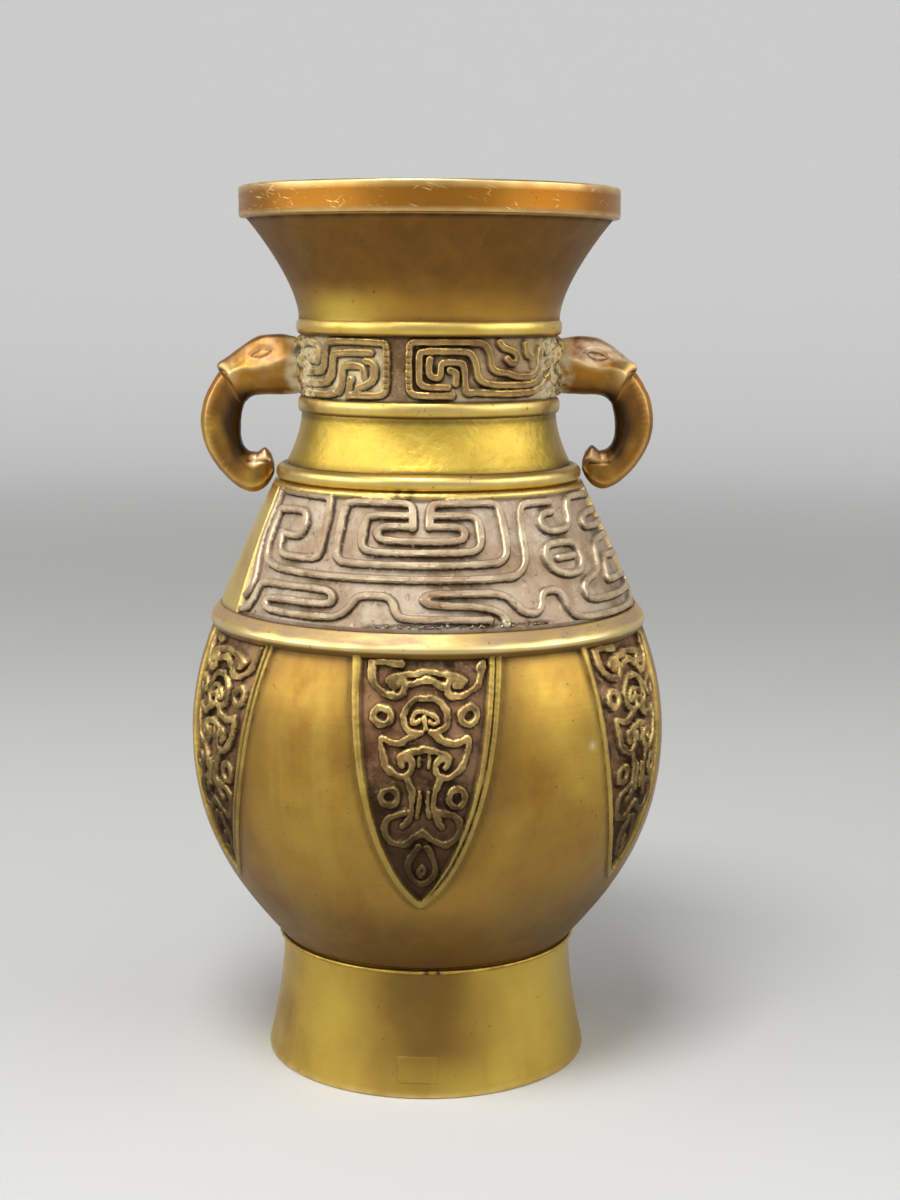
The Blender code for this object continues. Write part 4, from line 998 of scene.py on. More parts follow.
def build_neck():
    """Collar with its fret in relief, and the plain cone below it."""
    columns, start = 760, -90.0
    top, low = RINGS["neck_ring_upper"][0], RINGS["neck_ring_lower"][1]
    below, bottom = RINGS["neck_ring_lower"][0], RINGS["shoulder_ring"][1]
    collar = evenly([(COLLAR, top), (COLLAR, low)], 56)
    cone = evenly(bezier((CONE_TOP, below), (CONE_BOTTOM, bottom), CONE_BEND, 30), 16)
    angles, heights = column_angles(columns, start), collar[:, 1]
    around, z = angles[None, :], heights[:, None]
    scale = np.full(len(heights), math.radians(1.0) * COLLAR)
    row_step, column_step = heights[0] - heights[1], scale[0] * 360.0 / columns
    uneven = ripple(around * 0.8, z, 6)
    distance = nearest_stroke(angles, heights, scale, both_halves(COLLAR_STROKES))
    # Lower right of each stroke for painted shade, upper left for painted highlight
    shadow_side = shadow_side_of(distance, row_step, column_step)
    distance = distance + chips(around * scale[:, None], z, 8)
    height, beyond = stroke_relief(distance, COLLAR_STROKE, COLLAR_FLANK, COLLAR_RISE, uneven, crown=-0.22)
    # Painted shade in the ground where strokes crowd
    channel = smooth(crowding(height, COLLAR_RISE, row_step, column_step), 0.40, 0.60)
    # Crust of solder round the roots of the handles
    root = np.minimum(*[np.abs((around + turn + 180) % 360 - 180) for turn in (-90, 90)])
    crusted = 1.0 - smooth(root + 6 * ripple(around * 0.7, z * 0.9, 11), 22.0, 42.0)
    caked = 0.5 + 0.5 * ripple(around * 1.6, z * 2.4, 12) + 0.3 * ripple(around * 4.1, z * 5.2, 13)
    filled = smooth(crusted, 0.25, 0.9)
    height = height * (1 - 0.65 * filled) + COLLAR_RISE * filled * np.clip(0.95 * caked, 0.1, 1.0)
    # Notches in the two upright bars at the front
    front = (around + 90) % 180 - 90
    bars = sum(bell(front - place, COLLAR_BAR_WIDTH) for place in COLLAR_BARS)
    notches = smooth(np.sin(z * math.tau / NOTCH_PITCH + 0.6 * np.sin(z)), 0.65, 0.95) * bars
    height = height - 0.45 * notches * smooth(-beyond, -0.1, 0.2)
    floor_grain = 0.05 * ripple(around * 4.1, z * 5.5, 4)
    lift = height - COLLAR_RISE * 0.75 + floor_grain * smooth(beyond, 0.0, 0.3)
    outer = np.concatenate([[[NECK_ENDS[0], Z_UPPER - 0.2]], collar, [[NECK_ENDS[1], Z_LOWER]], cone,
                            [[NECK_ENDS[2], Z_SHOULDER + 0.2]]])
    inner = [(CONE_BORES[0], Z_SHOULDER), (CONE_BORES[1], bottom), (CONE_BORES[2], Z_SHOULDER + 10),
             (NECK_BORE, Z_LOWER - 1), (NECK_BORE, Z_LOWER + 8), (NECK_BORE, Z_UPPER)]
    # Chalky film, and painted shade in the channels, each in its own part of the girth
    chalk = read_off(front, COLLAR_CHALK) * read_off(z, CHALK_HEIGHTS)
    channel = channel * read_off(front, COLLAR_CHANNEL)
    pad = ((1, 2 + len(cone)), (0, 0))
    masks = {"stroke": beyond, "verdigris": crusted, "shadow_side": shadow_side, "chalk": chalk, "channel": channel}
    masks = padded(masks, pad)
    for name, value in (("stroke", 1.5), ("verdigris", 0.0), ("chalk", 0.0)):
        masks[name][1 + len(heights):] = value
    levels = outer[:, 1]
    masks["plain"] = (levels < Z_LOWER - 0.1).astype(float)[:, None] * np.ones((1, columns))
    # Dirt and painted shade along the rings and in the crevices of the crust
    rings = near_heights(levels, [top, low], 0.5) + 0.8 * near_heights(levels, [below - 0.5, bottom], 0.9)
    crevices = 0.85 * filled * (1 - smooth(caked, 0.08, 0.36))
    masks["grime_and_shade"] = np.clip(rings + np.pad(crevices, pad), 0, 1)
    turned("neck", outer, inner, columns, NECK, "neck_section", start,
           np.pad(lift, pad), masks, crease=75)


def belly_line(count):
    """Outside of the belly, from under the girdle ring down to the seam."""
    top = (BELLY_TOP, RINGS["girdle_ring"][0])
    upper = bezier(top, (BELLY_RADIUS, Z_WIDEST), BELLY_UPPER_BEND, 60)
    lower = bezier((BELLY_RADIUS, Z_WIDEST), (BELLY_FOOT, Z_SEAM + 0.15), BELLY_LOWER_BEND, 90)
    return evenly(np.concatenate([upper[:-1], lower]), count)


def radius_at(line, z):
    """Radius of a profile at given heights."""
    return np.interp(z, line[::-1, 1], line[::-1, 0])


def lappet_half(share):
    """Half width of a lappet, at a share of its length from the top."""
    return LAPPET_HALF_TOP * (1.0 - np.clip(share, 0, 1) ** LAPPET_SIDE) ** LAPPET_POINT


def lappet_lean(share):
    """Sideways place of a lappet's middle line."""
    return LAPPET_SHIFT + LAPPET_DRIFT * share


def build_belly():
    """Round belly, sunk a little under each lappet."""
    columns, rows = 420, 120
    line = belly_line(rows)
    heights = line[:, 1]
    around, z = column_angles(columns)[None, :], heights[:, None]
    sector = 360.0 / LAPPET_COUNT
    local = (around + sector / 2) % sector - sector / 2
    share = (LAPPET_TOP - z) / LAPPET_LENGTH
    across = np.radians(local) * line[:, :1] - lappet_lean(share)
    inside = np.where(share < 1, lappet_half(share) - np.abs(across), -9.0)
    sunk = smooth(inside, 0.8, 1.6)
    stain = bell(np.hypot((around - STAIN_PLACE[0]) * 1.1, z - STAIN_PLACE[1]), STAIN_RADIUS)
    lift = -1.8 * sunk - 0.04 + 0.04 * ripple(around * 0.5, z * 0.4, 3) - 0.25 * stain
    outer = np.concatenate([[[BELLY_ENDS[0], Z_GIRDLE - 0.2], [BELLY_TOP - 0.3, heights[0] + 0.1]], line,
                            [[BELLY_ENDS[1], Z_SEAM]]])
    hollow = inside_of(evenly(line, 24), WALL, Z_SEAM + 1, heights[0] - 1)
    inner = np.concatenate([[[BELLY_BORES[1], Z_SEAM]], hollow, [[BELLY_BORES[0], Z_GIRDLE]]])
    # Dirt and painted shade along the girdle ring and round the lappets, and painted shade with some dirt
    # towards the foot
    grime_and_shade = 0.8 * near_heights(heights, heights[:1], 1.3) + 0.1 * near_heights(heights, heights[-1:], 0.6)
    grime_and_shade = np.clip(grime_and_shade + 0.55 * bell(inside + 0.4, 0.9), 0, 1)
    low_edge = smooth(z + 3.0 * ripple(around * 0.3, z * 0.3, 8), 44.0, 66.0)
    grime_and_shade = np.maximum(grime_and_shade, 0.43 * (1 - low_edge))
    # Tarnishing with painted shade, strongest towards the seam, stains under the girdle ring and a haze
    # beside the lappets
    tarnish_and_shade = read_off(z, BELLY_TARNISH_AND_SHADE)
    stained = smooth(z + 4.0 * ripple(around * 0.35, z * 0.3, 6), 114.0, 122.0)
    spread = 7.0 + 2.0 * ripple(across * 0.6, z * 0.3, 63)
    haze = bell(np.clip(-inside, 0, None), spread)
    haze = haze * (0.25 + 0.50 * smooth(across, 0.0, 2.0)) * (1 - smooth(share, 0.75, 1.0))
    tarnish_and_shade = np.clip(tarnish_and_shade + 0.45 * stained + haze, 0, 1)
    pad = ((2, 1), (0, 0))
    masks = {"grime_and_shade": np.pad(grime_and_shade, pad, mode="edge"), "stain": np.pad(stain, pad),
             "tarnish_and_shade": np.pad(tarnish_and_shade, pad, mode="edge")}
    turned("belly", outer, inner, columns, BODY, "belly_section",
           lift=np.pad(lift, pad), masks=masks, crease=60)


def lappet_strokes(half_motif):
    """Centre lines on both sides of a lappet's middle."""
    return [rounded([(side * x, z) for x, z in stroke]) for stroke in half_motif for side in (1, -1)]


def lappet_rings():
    """Centre lines of a lappet's small rings and of the dash at its top."""
    turn = np.linspace(0, math.tau, 25)
    circle = LAPPET_RING_RADIUS * np.stack([np.cos(turn), np.sin(turn)], 1)
    rings = [np.array([side * x, z]) + circle for x, z in LAPPET_RINGS for side in (-1, 1)]
    return rings + [np.array(LAPPET_DASH)]


def line_gap(x, z, line):
    """Distance from points to the nearest part of a line."""
    found = np.full(x.shape, 9.0)
    for start, end in zip(line[:-1], line[1:]):
        found = np.minimum(found, segment_gap(x, z, start, end))
    return found


def lappet_gap(x, z):
    """Distance from the points of a lappet to its nearest stroke, with the drawing a little bent."""
    bent_x = x + 0.50 * ripple(x * 1.1, z * 1.0, 41) + 0.22 * ripple(x * 2.9, z * 3.1, 45)
    bent_z = z + 0.50 * ripple(x * 1.0, z * 1.1, 43) + 0.22 * ripple(x * 3.1, z * 2.8, 47)
    gap = np.full(x.shape, 9.0)
    for stroke in lappet_strokes(LAPPET_STROKES) + lappet_rings():
        gap = np.minimum(gap, line_gap(bent_x, bent_z, stroke))
    knob = np.hypot(x - LAPPET_KNOB[0], z - LAPPET_KNOB[1])
    gap = np.minimum(gap, np.maximum(knob - LAPPET_KNOB_RADIUS, 0.0))
    for stroke in lappet_strokes(LAPPET_FINE_STROKES):
        gap = np.minimum(gap, line_gap(bent_x, bent_z, stroke) + LAPPET_STROKE - LAPPET_FINE_STROKE)
    return gap


def build_lappets():
    """Six pointed lappets in relief, let into the belly."""
    rows, columns = 160, 100
    share = np.linspace(0.0, 1.0, rows)[:, None]
    share[-1] = 0.999
    heights = LAPPET_TOP - LAPPET_LENGTH * share
    half = lappet_half(share)
    x = half * np.linspace(-1.0, 1.0, columns)[None, :]
    z = heights + 0 * x
    row_step = LAPPET_LENGTH / rows
    uneven = ripple(x * 1.4, z * 1.2, 13)
    gap = lappet_gap(x, z)
    # Lower right of each stroke for painted shade, upper left for painted highlight
    shadow_side = shadow_side_of(gap, row_step, 2 * np.maximum(half, 1.0) / columns)
    gap = gap + 1.8 * chips(x, z, 14)
    height, beyond = stroke_relief(gap, LAPPET_STROKE, LAPPET_FLANK, LAPPET_RISE, 2.2 * uneven, crown=-0.12)
    # Painted shade in the ground where strokes crowd
    channel = 0.65 * smooth(crowding(height, LAPPET_RISE, row_step, 0.36), 0.38, 0.58)
    height = height * (1.0 - 0.35 * smooth(share, 0.55, 0.9))
    # Frame along the edge, wider and grooved on the right
    outline = np.concatenate([half, heights], 1)[::2]
    outline = np.concatenate([outline, [[0.0, LAPPET_TOP - LAPPET_LENGTH]]])
    rim_gap = line_gap(np.abs(x), z, outline)
    frame_left = read_off(share, LAPPET_FRAME_LEFT)
    frame_right = read_off(share, LAPPET_FRAME_RIGHT)
    frame_width = frame_left + (frame_right - frame_left) * smooth(x, -0.5, 0.5)
    frame_gap = rim_gap + chips(x * 0.7, z * 0.7, 16)
    band = 1.0 - smooth(frame_gap, frame_width - 0.30, frame_width + 0.25)
    furrow = bell(frame_gap - LAPPET_FURROW, 0.30) * smooth(x, 0.0, 1.0)
    furrow = furrow * (1 - smooth(share, 0.88, 0.96))
    round_over = 1.0 - np.clip((frame_gap - frame_width / 2) / (frame_width / 2), -1, 1) ** 2
    height = height * (1 - band) + band * (LAPPET_RISE - 0.30 + 0.30 * round_over - 0.65 * furrow)
    fall = smooth(rim_gap, 0.0, 0.45)
    lift = height - LAPPET_SINK - 0.9 * (1 - fall) + 0.09 * ripple(x * 4.2, z * 4.6, 15)
    lift = np.minimum(lift, LAPPET_PROUD)
    # Dull ground, old gold on the frame, brown towards the tip; dirt and painted shade along the edge, in the
    # furrow and groove, and under the girdle ring
    dull = smooth(share, 0.18, 0.80) * (1 - band)
    groove = bell(frame_gap - frame_width - 0.45, 0.45) * (1 - band)
    under_ring = smooth(z, LAPPET_TOP - 1.9, LAPPET_TOP - 1.0) * (1 - 0.4 * band)
    old_gold = band * (0.74 + 0.26 * ripple(x * 1.1, z * 0.8, 17))
    browned = band * np.clip(0.48 * smooth(share, 0.45, 0.95) + 0.20 * smooth(x, 0.0, 1.0), 0, 0.55)
    grime_and_shade = 1 - fall + 0.75 * furrow * band + browned + 0.8 * groove + 0.75 * under_ring
    masks = {"stroke": beyond * (1 - band) + 1.5 * band, "plain": old_gold, "dull": dull, "shadow_side": shadow_side,
             "channel": channel, "grime_and_shade": np.clip(grime_and_shade, 0, 1)}
    masks = {name: np.concatenate([values.ravel(), 0 * values.ravel()]) for name, values in masks.items()}
    radius = radius_at(belly_line(400), heights)
    angle = (x + lappet_lean(share)) / radius
    faces = slab_faces(rows, columns)
    for index in range(LAPPET_COUNT):
        turn = angle + math.tau * index / LAPPET_COUNT
        sheets = [round_points(reach, turn, z) for reach in (radius + lift, radius - LAPPET_ROOT)]
        add_piece(f"lappet_{index + 1}", np.concatenate(sheets), faces, LAPPET,
                  "belly_section", masks, crease=75)


def foot_line(count):
    """Outside of the foot, from the seam down to its rounded edge."""
    edge = 0.5
    return evenly(bezier((FOOT_WAIST, Z_SEAM), (FOOT_RADIUS, edge), FOOT_BEND, 40), count)


def foot_front_shade(around, z):
    """How brown the front of the foot is painted, as painted shade: a soft blotch."""
    blotch = around + 7.0 * ripple(around * 0.2, z * 0.2, 24)
    return 0.95 * bell(blotch - FOOT_SHADE[0], FOOT_SHADE[1]) * smooth(z, 0.0, 14.0)


def build_foot():
    """Spreading foot with a rebate for the base plate."""
    columns = 240
    line = foot_line(40)
    outer = np.concatenate([[[FOOT_WAIST - 0.3, Z_SEAM]], line,
                            [[FOOT_RADIUS - 0.15, 0.15], [FOOT_RADIUS - 0.5, 0.0]]])
    ledge = radius_at(line, PLATE_HIGH) - FOOT_WALL
    inner = [(PLATE_RADIUS + 1.6, 0.0), (PLATE_RADIUS + 0.5, 0.4), (PLATE_RADIUS + 0.3, PLATE_HIGH + 0.2),
             (ledge, PLATE_HIGH + 0.3), (FOOT_WAIST - FOOT_WALL, 22.0), (FOOT_WAIST - FOOT_WALL, Z_SEAM)]
    heights = outer[:, 1]
    around, z = column_angles(columns)[None, :], heights[:, None]
    lift = -0.03 + 0.03 * ripple(around * 0.6, z * 0.7, 17) - 0.05 * smooth(-z, -1.0, -0.2)
    wear_and_highlight = near_heights(heights, [0.7], 0.6) * (0.45 + 0.4 * ripple(around, z, 18))
    # Painted shade over the front of the foot, and painted highlight on its sides
    brown = foot_front_shade(around, z)
    grime_and_shade = (0.30 + 0.14 * smooth(z, 18.0, 30.0)) * brown
    grime_and_shade = np.maximum(grime_and_shade, 0.15 * near_heights(heights, [Z_SEAM], 1.0))
    turned("foot", outer, inner, columns, BODY, "foot_ring", lift=lift,
           masks={"wear_and_highlight": np.clip(wear_and_highlight, 0, 1), "grime_and_shade": grime_and_shade, "painted_highlight": 0.6 * (1 - brown),
                  "tarnish_and_shade": brown})


def build_seam():
    """Bead of solder in the seam under the belly, uneven and with two pinholes at the front."""
    low, high, reach = node_span("foot_solder_ring")
    columns = 360
    middle, half = (low + high) / 2, (high - low) / 2
    turn = np.radians(np.linspace(90, -90, 9))
    outer = np.stack([reach - half + half * np.cos(turn), middle + half * np.sin(turn)], 1)
    inner = [(FOOT_WAIST - 0.2, low), (FOOT_WAIST - 0.2, high)]
    around = column_angles(columns)[None, :]
    pits = sum(bell(around - place, PINHOLE_WIDTH) for place in PINHOLES)
    lift = -0.08 + 0.08 * ripple(around * 1.6, outer[:, 1:], 19) - 0.7 * pits * np.cos(turn)[:, None]
    shade = np.clip(pits + 0.2 * smooth(np.abs(np.sin(turn))[:, None], 0.7, 1.0), 0, 1)
    turned("foot_seam_bead", outer, inner, columns, SEAM, "foot_solder_ring", lift=lift,
           masks={"shade": shade * np.ones((1, columns))})


def slab_faces(rows, columns):
    """Faces of a closed slab made of a front and a back grid of one layout."""
    i, j = np.meshgrid(np.arange(rows - 1), np.arange(columns - 1), indexing="ij")
    first = (i * columns + j).ravel()
    quads = np.stack([first, first + columns, first + columns + 1, first + 1], 1)
    shift = rows * columns
    border = [j for j in range(columns)] + [i * columns + columns - 1 for i in range(1, rows)]
    border += [(rows - 1) * columns + j for j in range(columns - 2, -1, -1)]
    border += [i * columns for i in range(rows - 2, 0, -1)]
    rim = [[a, b, b + shift, a + shift] for a, b in zip(border, border[1:] + border[:1])]
    return quads.tolist() + (quads[:, ::-1] + shift).tolist() + rim


def build_patch():
    """Rectangular patch let into the front of the foot."""
    low, high = [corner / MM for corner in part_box("foot_patch")]
    rows, columns = 16, 24
    line = foot_line(60)
    part = np.linspace(0, 1, columns)
    z = np.linspace(high.z, low.z, rows)[:, None]
    x = low.x + (high.x - low.x) * part[None, :]
    border = np.minimum(np.minimum(x - low.x, high.x - x), np.minimum(z - low.z, high.z - z))
    radius = radius_at(line, z)
    angle = x / radius
    lift = 0.10 - 0.16 * (1 - smooth(border, 0.0, 0.45)) + 0.03 * ripple(x * 1.1, z, 21)
    points = np.concatenate([round_points(reach, angle, z) for reach in (radius + lift, radius - PATCH_ROOT)])
    soiled = np.maximum(1 - smooth(x - low.x + 0 * z, 0.0, 0.7), 1 - smooth(z - low.z + 0 * x, 0.0, 0.6))
    soiled = np.maximum(soiled, 0.4 * (1 - smooth(border, 0.0, 0.4)))
    soiled = soiled * (0.7 + 0.5 * ripple(x * 2.1, z * 2.3, 22))
    grime_and_shade = np.concatenate([np.clip(soiled, 0, 1).ravel(), np.zeros(rows * columns)])
    # The foot's painted shade and painted highlight carry on over the patch
    brown = np.tile(foot_front_shade(np.degrees(angle), z).ravel(), 2)
    add_piece("foot_patch_dressed", points, slab_faces(rows, columns), BODY, "foot_patch",
              {"grime_and_shade": grime_and_shade, "tarnish_and_shade": brown, "painted_highlight": 0.6 * (1 - brown)})


def build_base():
    """Plate that closes the foot from below, with its fillet of solder."""
    columns = 160
    hub = 1.2
    under = evenly([(PLATE_RADIUS, PLATE_LOW + 0.1), (PLATE_RADIUS - 0.3, PLATE_LOW), (hub, PLATE_LOW)], 60)
    wave = 0.05 * np.sin(under[:, 0] * 2.2) + 0.05
    under[:, 1] += wave * (under[:, 0] < PLATE_RADIUS - 2)
    hollow = [(hub * 0.4, PLATE_LOW + 0.5)]
    top_edge = [[PLATE_RADIUS - 0.1, PLATE_HIGH], [PLATE_RADIUS, PLATE_HIGH - 0.1]]
    rows = np.concatenate([top_edge, under, hollow])
    angle = np.radians(column_angles(columns))[None, :]
    poles = [[0, 0, PLATE_LOW + 0.6], [0, 0, PLATE_HIGH]]
    points = np.concatenate([round_points(rows[:, :1], angle, rows[:, 1:]), poles])
    faces = capped_faces(len(rows), columns)
    add_piece("base_plate_dressed", points, faces, PLATE, "base_plate")
    low, high, reach = node_span("base_solder_ring")
    turn = np.linspace(0, 1, 8)
    fillet = np.stack([reach - (high - low) * turn ** 0.7, low + (high - low) * turn ** 1.4], 1)
    outer = np.concatenate([[[reach, high]], fillet])
    inner = [(reach - (high - low) * 0.6, high)]
    around = column_angles(columns)[None, :]
    lift = 0.6 * (0.08 * ripple(around * 1.1, outer[:, 1:], 23) - 0.08)
    turned("base_solder_dressed", outer, inner, columns, SOLDER, "base_solder_ring", lift=lift)


def spline(values, count):
    """A smooth line through all the values, with evenly spread points."""
    values = np.array(values, float)
    ends = np.concatenate([2 * values[:1] - values[1:2], values, 2 * values[-1:] - values[-2:-1]])
    fine = []
    for k in range(len(values) - 1):
        p0, p1, p2, p3 = ends[k:k + 4]
        t = np.linspace(0, 1, 24, endpoint=False)[:, None]
        fine.append(0.5 * (2 * p1 + (p2 - p0) * t + (2 * p0 - 5 * p1 + 4 * p2 - p3) * t ** 2
                           + (3 * p1 - p0 - 3 * p2 + p3) * t ** 3))
    fine = np.concatenate(fine + [values[-1:]])
    return evenly(fine, count)


def segment_gap(x, z, start, end):
    """Distance from points to a straight line between two points."""
    run = np.array(end) - np.array(start)
    share = np.clip(((x - start[0]) * run[0] + (z - start[1]) * run[1]) / (run @ run), 0, 1)
    return np.hypot(x - start[0] - share * run[0], z - start[1] - share * run[1])


def handle_section(corners):
    """A handle's section as one ring of points from the crown, with its corners a little rounded."""
    half = [np.linspace(start, end, count, endpoint=False)
            for start, end, count in zip(corners[:-1], corners[1:], FACET_POINTS)]
    half = np.concatenate(half + [np.array([corners[-1]])])
    ring = np.concatenate([half, half[-2:0:-1] * np.array([1.0, -1.0])])
    for _ in range(CORNER_ROUNDS):
        ring = (np.roll(ring, 1, axis=0) + 2 * ring + np.roll(ring, -1, axis=0)) / 4
    return ring


def eye_relief(x, z, on_plane):
    """Ball, lid line and upper lid of the eye on each sloping plane of the head."""
    tilt = math.radians(EYE_TILT)
    from_eye_x, from_eye_z = x - EYE_MIDDLE[0], z - EYE_MIDDLE[1]
    u = from_eye_x * math.cos(tilt) - from_eye_z * math.sin(tilt)
    v = from_eye_x * math.sin(tilt) + from_eye_z * math.cos(tilt)
    lens = np.abs(v) - EYE_HALF[1] * (1 - (u / EYE_HALF[0]) ** 2)
    near = on_plane * (np.abs(u) < EYE_HALF[0] * 1.35)
    ball = (1 - smooth(lens, -0.8, -0.1)) * near
    lid_line = bell(lens, 0.22) * near * (np.abs(u) < EYE_HALF[0] * 1.1)
    lid = bell(lens - 0.75, 0.30) * near * (v > 0)
    return ball, lid_line, lid


def build_handle(name, side):
    """Elephant head and curled trunk, lofted through its stations, with eyes, ridges and folds."""
    rows, columns = 300, 2 * sum(FACET_POINTS)
    line = spline(HANDLE_STATIONS, rows)
    brow = np.argmin(np.linalg.norm(line[:, :2] - np.array(HANDLE_STATIONS[BROW_STATION][:2]), axis=1))
    if side < 0:
        root, stretch = np.array([COLLAR, HANDLE_TOP]), np.array(LEFT_STRETCH)
        for ends in (slice(0, 2), slice(2, 4)):
            line[:, ends] = root + (line[:, ends] - root) * stretch
    outer_end, inner_end, widths = line[:, 0:2], line[:, 2:4], line[:, 4]
    middle = (outer_end + inner_end) / 2
    reach = (outer_end - inner_end) / 2
    depth = np.linalg.norm(reach, axis=1, keepdims=True)
    direction = reach / depth
    along = np.concatenate([[0], np.cumsum(np.linalg.norm(np.diff(middle, axis=0), axis=1))])[:, None]
    share = along / along[-1]
    column = np.arange(columns)[None, :]
    from_crown = np.minimum(column, columns - column)
    past_ridge = from_crown - RIDGE_COLUMN
    # The brow ends in a bowed step, which fades towards the throat
    bow = BROW_BOW * np.sin(math.pi * np.clip((from_crown - 4) / 46, 0, 1))
    past_brow = along - along[brow] + bow
    fade = smooth(from_crown, 31.0, 43.0)
    crisp, soft = [np.mean([np.interp(along + bow + shift, along[:, 0], widths) for shift in shifts], 0)
                   for shifts in ((0.0,), np.linspace(-3.0, 3.0, 9))]
    half_width = crisp + (soft - crisp) * fade
    section = handle_section(ROOT_SECTION)[None, :, :]
    for corners, step in ((HEAD_SECTION, smooth(along, 3.0, 9.0)),
                          (BROW_SECTION, smooth(past_brow, -9.0, -2.0)),
                          (TRUNK_SECTION, smooth(past_brow, -0.8 - 2.4 * fade, 0.4 + 2.4 * fade)),
                          (TIP_SECTION, smooth(share, 0.80, 0.90))):
        section = section + (handle_section(corners)[None, :, :] - section) * step[:, :, None]
    out, across = section[:, :, 0] * depth, section[:, :, 1] * half_width
    on_head = 1 - smooth(past_brow, -0.6, 0.1)
    on_trunk = smooth(past_brow, 0.2, 1.5)
    x = middle[:, :1] + out * direction[:, :1]
    z = middle[:, 1:2] + out * direction[:, 1:]
    # Rounded brow and cheek, and ridges along the head and the trunk
    ridge = bell(past_ridge, 2.2) * smooth(share, 0.03, 0.10)
    cheek = bell(past_ridge - 4, 7.0) * smooth(past_brow, -9.0, -3.0) * on_head
    brow_lobe = smooth(past_brow, -5.0, -1.5) * on_head * (1 - smooth(past_ridge, 1.0, 11.0))
    brow_swell = bell(past_brow + 1.7, 1.4) * (1 - smooth(past_ridge, -7.0, 11.0))
    lip_round = smooth(past_brow, -1.5, 0.0) ** 2 * on_head * (1 - fade)
    swell = 0.10 * ridge + 0.42 * brow_swell + 0.32 * cheek - 0.60 * lip_round
    on_plane = smooth(from_crown, 7.0, 9.0) * (past_ridge < 5) * on_head
    ball, lid_line, lid = eye_relief(x, z, on_plane)
    swell = swell + 0.06 * ball - 0.30 * lid_line - 0.14 * lid
    # Punched marks across the trunk, the groove under its lip, and the lobes of the lip
    marked = on_trunk * (1 - smooth(share, 0.78, 0.86))
    marks = np.sin(along * math.tau / MARK_PITCH) * bell(past_ridge - 3, 2.5) * marked
    slit = bell(segment_gap(x, z, *GROOVE_ENDS), 0.32) * (past_ridge > 0)
    lobes = np.cos((x - LIP_LOBE_PLACE) * math.tau / LIP_LOBE_PITCH)
    lobes = lobes * smooth(from_crown, THROAT_COLUMN, columns / 2) * smooth(share, 0.86, 0.92)
    swell = swell + 0.06 * marks - 0.36 * slit + 0.35 * lobes
    lumps = 0.13 * ripple(x * 0.8 + across * 0.5, z * 0.8 - across * 0.4, 25 + side)
    lumps = lumps + 0.05 * ripple(x * 2.6 - across, z * 2.4 + across, 31 + side)
    scale = 1.0 + (swell + lumps) / np.maximum(depth, 2.5)
    out, across = out * scale, across * scale
    x = middle[:, :1] + out * direction[:, :1]
    z = middle[:, 1:2] + out * direction[:, 1:]
    poles = [[side * (middle[-1, 0] - 0.5), 0.0, middle[-1, 1] - 0.1],
             [side * (middle[0, 0] - 1.0), 0.0, middle[0, 1]]]
    points = np.concatenate([np.stack([side * x, across, z], -1).reshape(-1, 3), poles])
    faces = capped_faces(rows, columns)
    if side < 0:
        faces = [face[::-1] for face in faces]
    # Upper planes from rubbing and painted highlight, brighter on the right head; painted shade in the folds,
    # under the head, on the throat and along the trunk's sides; and crust
    plane_end = RIDGE_COLUMN - 21.0 * np.clip((past_brow + 9.5) / 8.5, 0, 1) ** 1.2
    ragged = 2.0 * ripple(along * 0.9, from_crown * 0.3, 62)
    plane = 1 - smooth(from_crown + ragged, plane_end - 3.5, plane_end + 2.5)
    lip = 0.42 * smooth(from_crown, THROAT_COLUMN - 2.0, THROAT_COLUMN + 1.0) * smooth(share, 0.84, 0.90)
    # Painted highlight: full on the right head's upper plane, a fifth of it on the left
    upper = (1.0 if side > 0 else 0.20) * plane * on_head + 0.30 * plane * on_trunk + lip
    fold = bell(past_brow - 0.1, 0.55) * (1 - smooth(past_ridge, -4.0, 12.0))
    throat = 0.85 * smooth(past_ridge, 7.0, 20.0) * smooth(share, 0.20, 0.36)
    throat = throat * (1 - smooth(share, 0.74, 0.84))
    underside = 0.45 * on_head * smooth(past_ridge, 5.0, 14.0)
    blotches = 1.0 + 0.7 * ripple(x * 0.9, z * 0.9, 61)
    brown_side = 0.46 * blotches * on_trunk * smooth(past_ridge, 0.0, 6.0) * (1 - lip)
    shade = 0.85 * lid_line + 0.4 * lid + 0.9 * fold + throat + underside + brown_side + 0.6 * slit
    crust = np.clip(1 - smooth(x - 36.0 + 1.6 * ripple(across, z, 27), 0.6, 3.6), 0, 1)
    # Ridges paler from rubbing, and a painted highlight on the brow's lobe
    rubbing_and_highlight = ridge * 0.30 * (on_head + on_trunk) * blotches + 0.45 * brow_lobe * (1 - plane)
    masks = {"upper": upper, "edge": np.clip(rubbing_and_highlight, 0, 1), "shade": np.clip(shade, 0, 1),
             "verdigris": crust}
    masks = {key: np.concatenate([(values + 0 * x).ravel(), [0, 0]]) for key, values in masks.items()}
    add_piece(name + "_cast", points, faces, HANDLE, name, masks, crease=60)


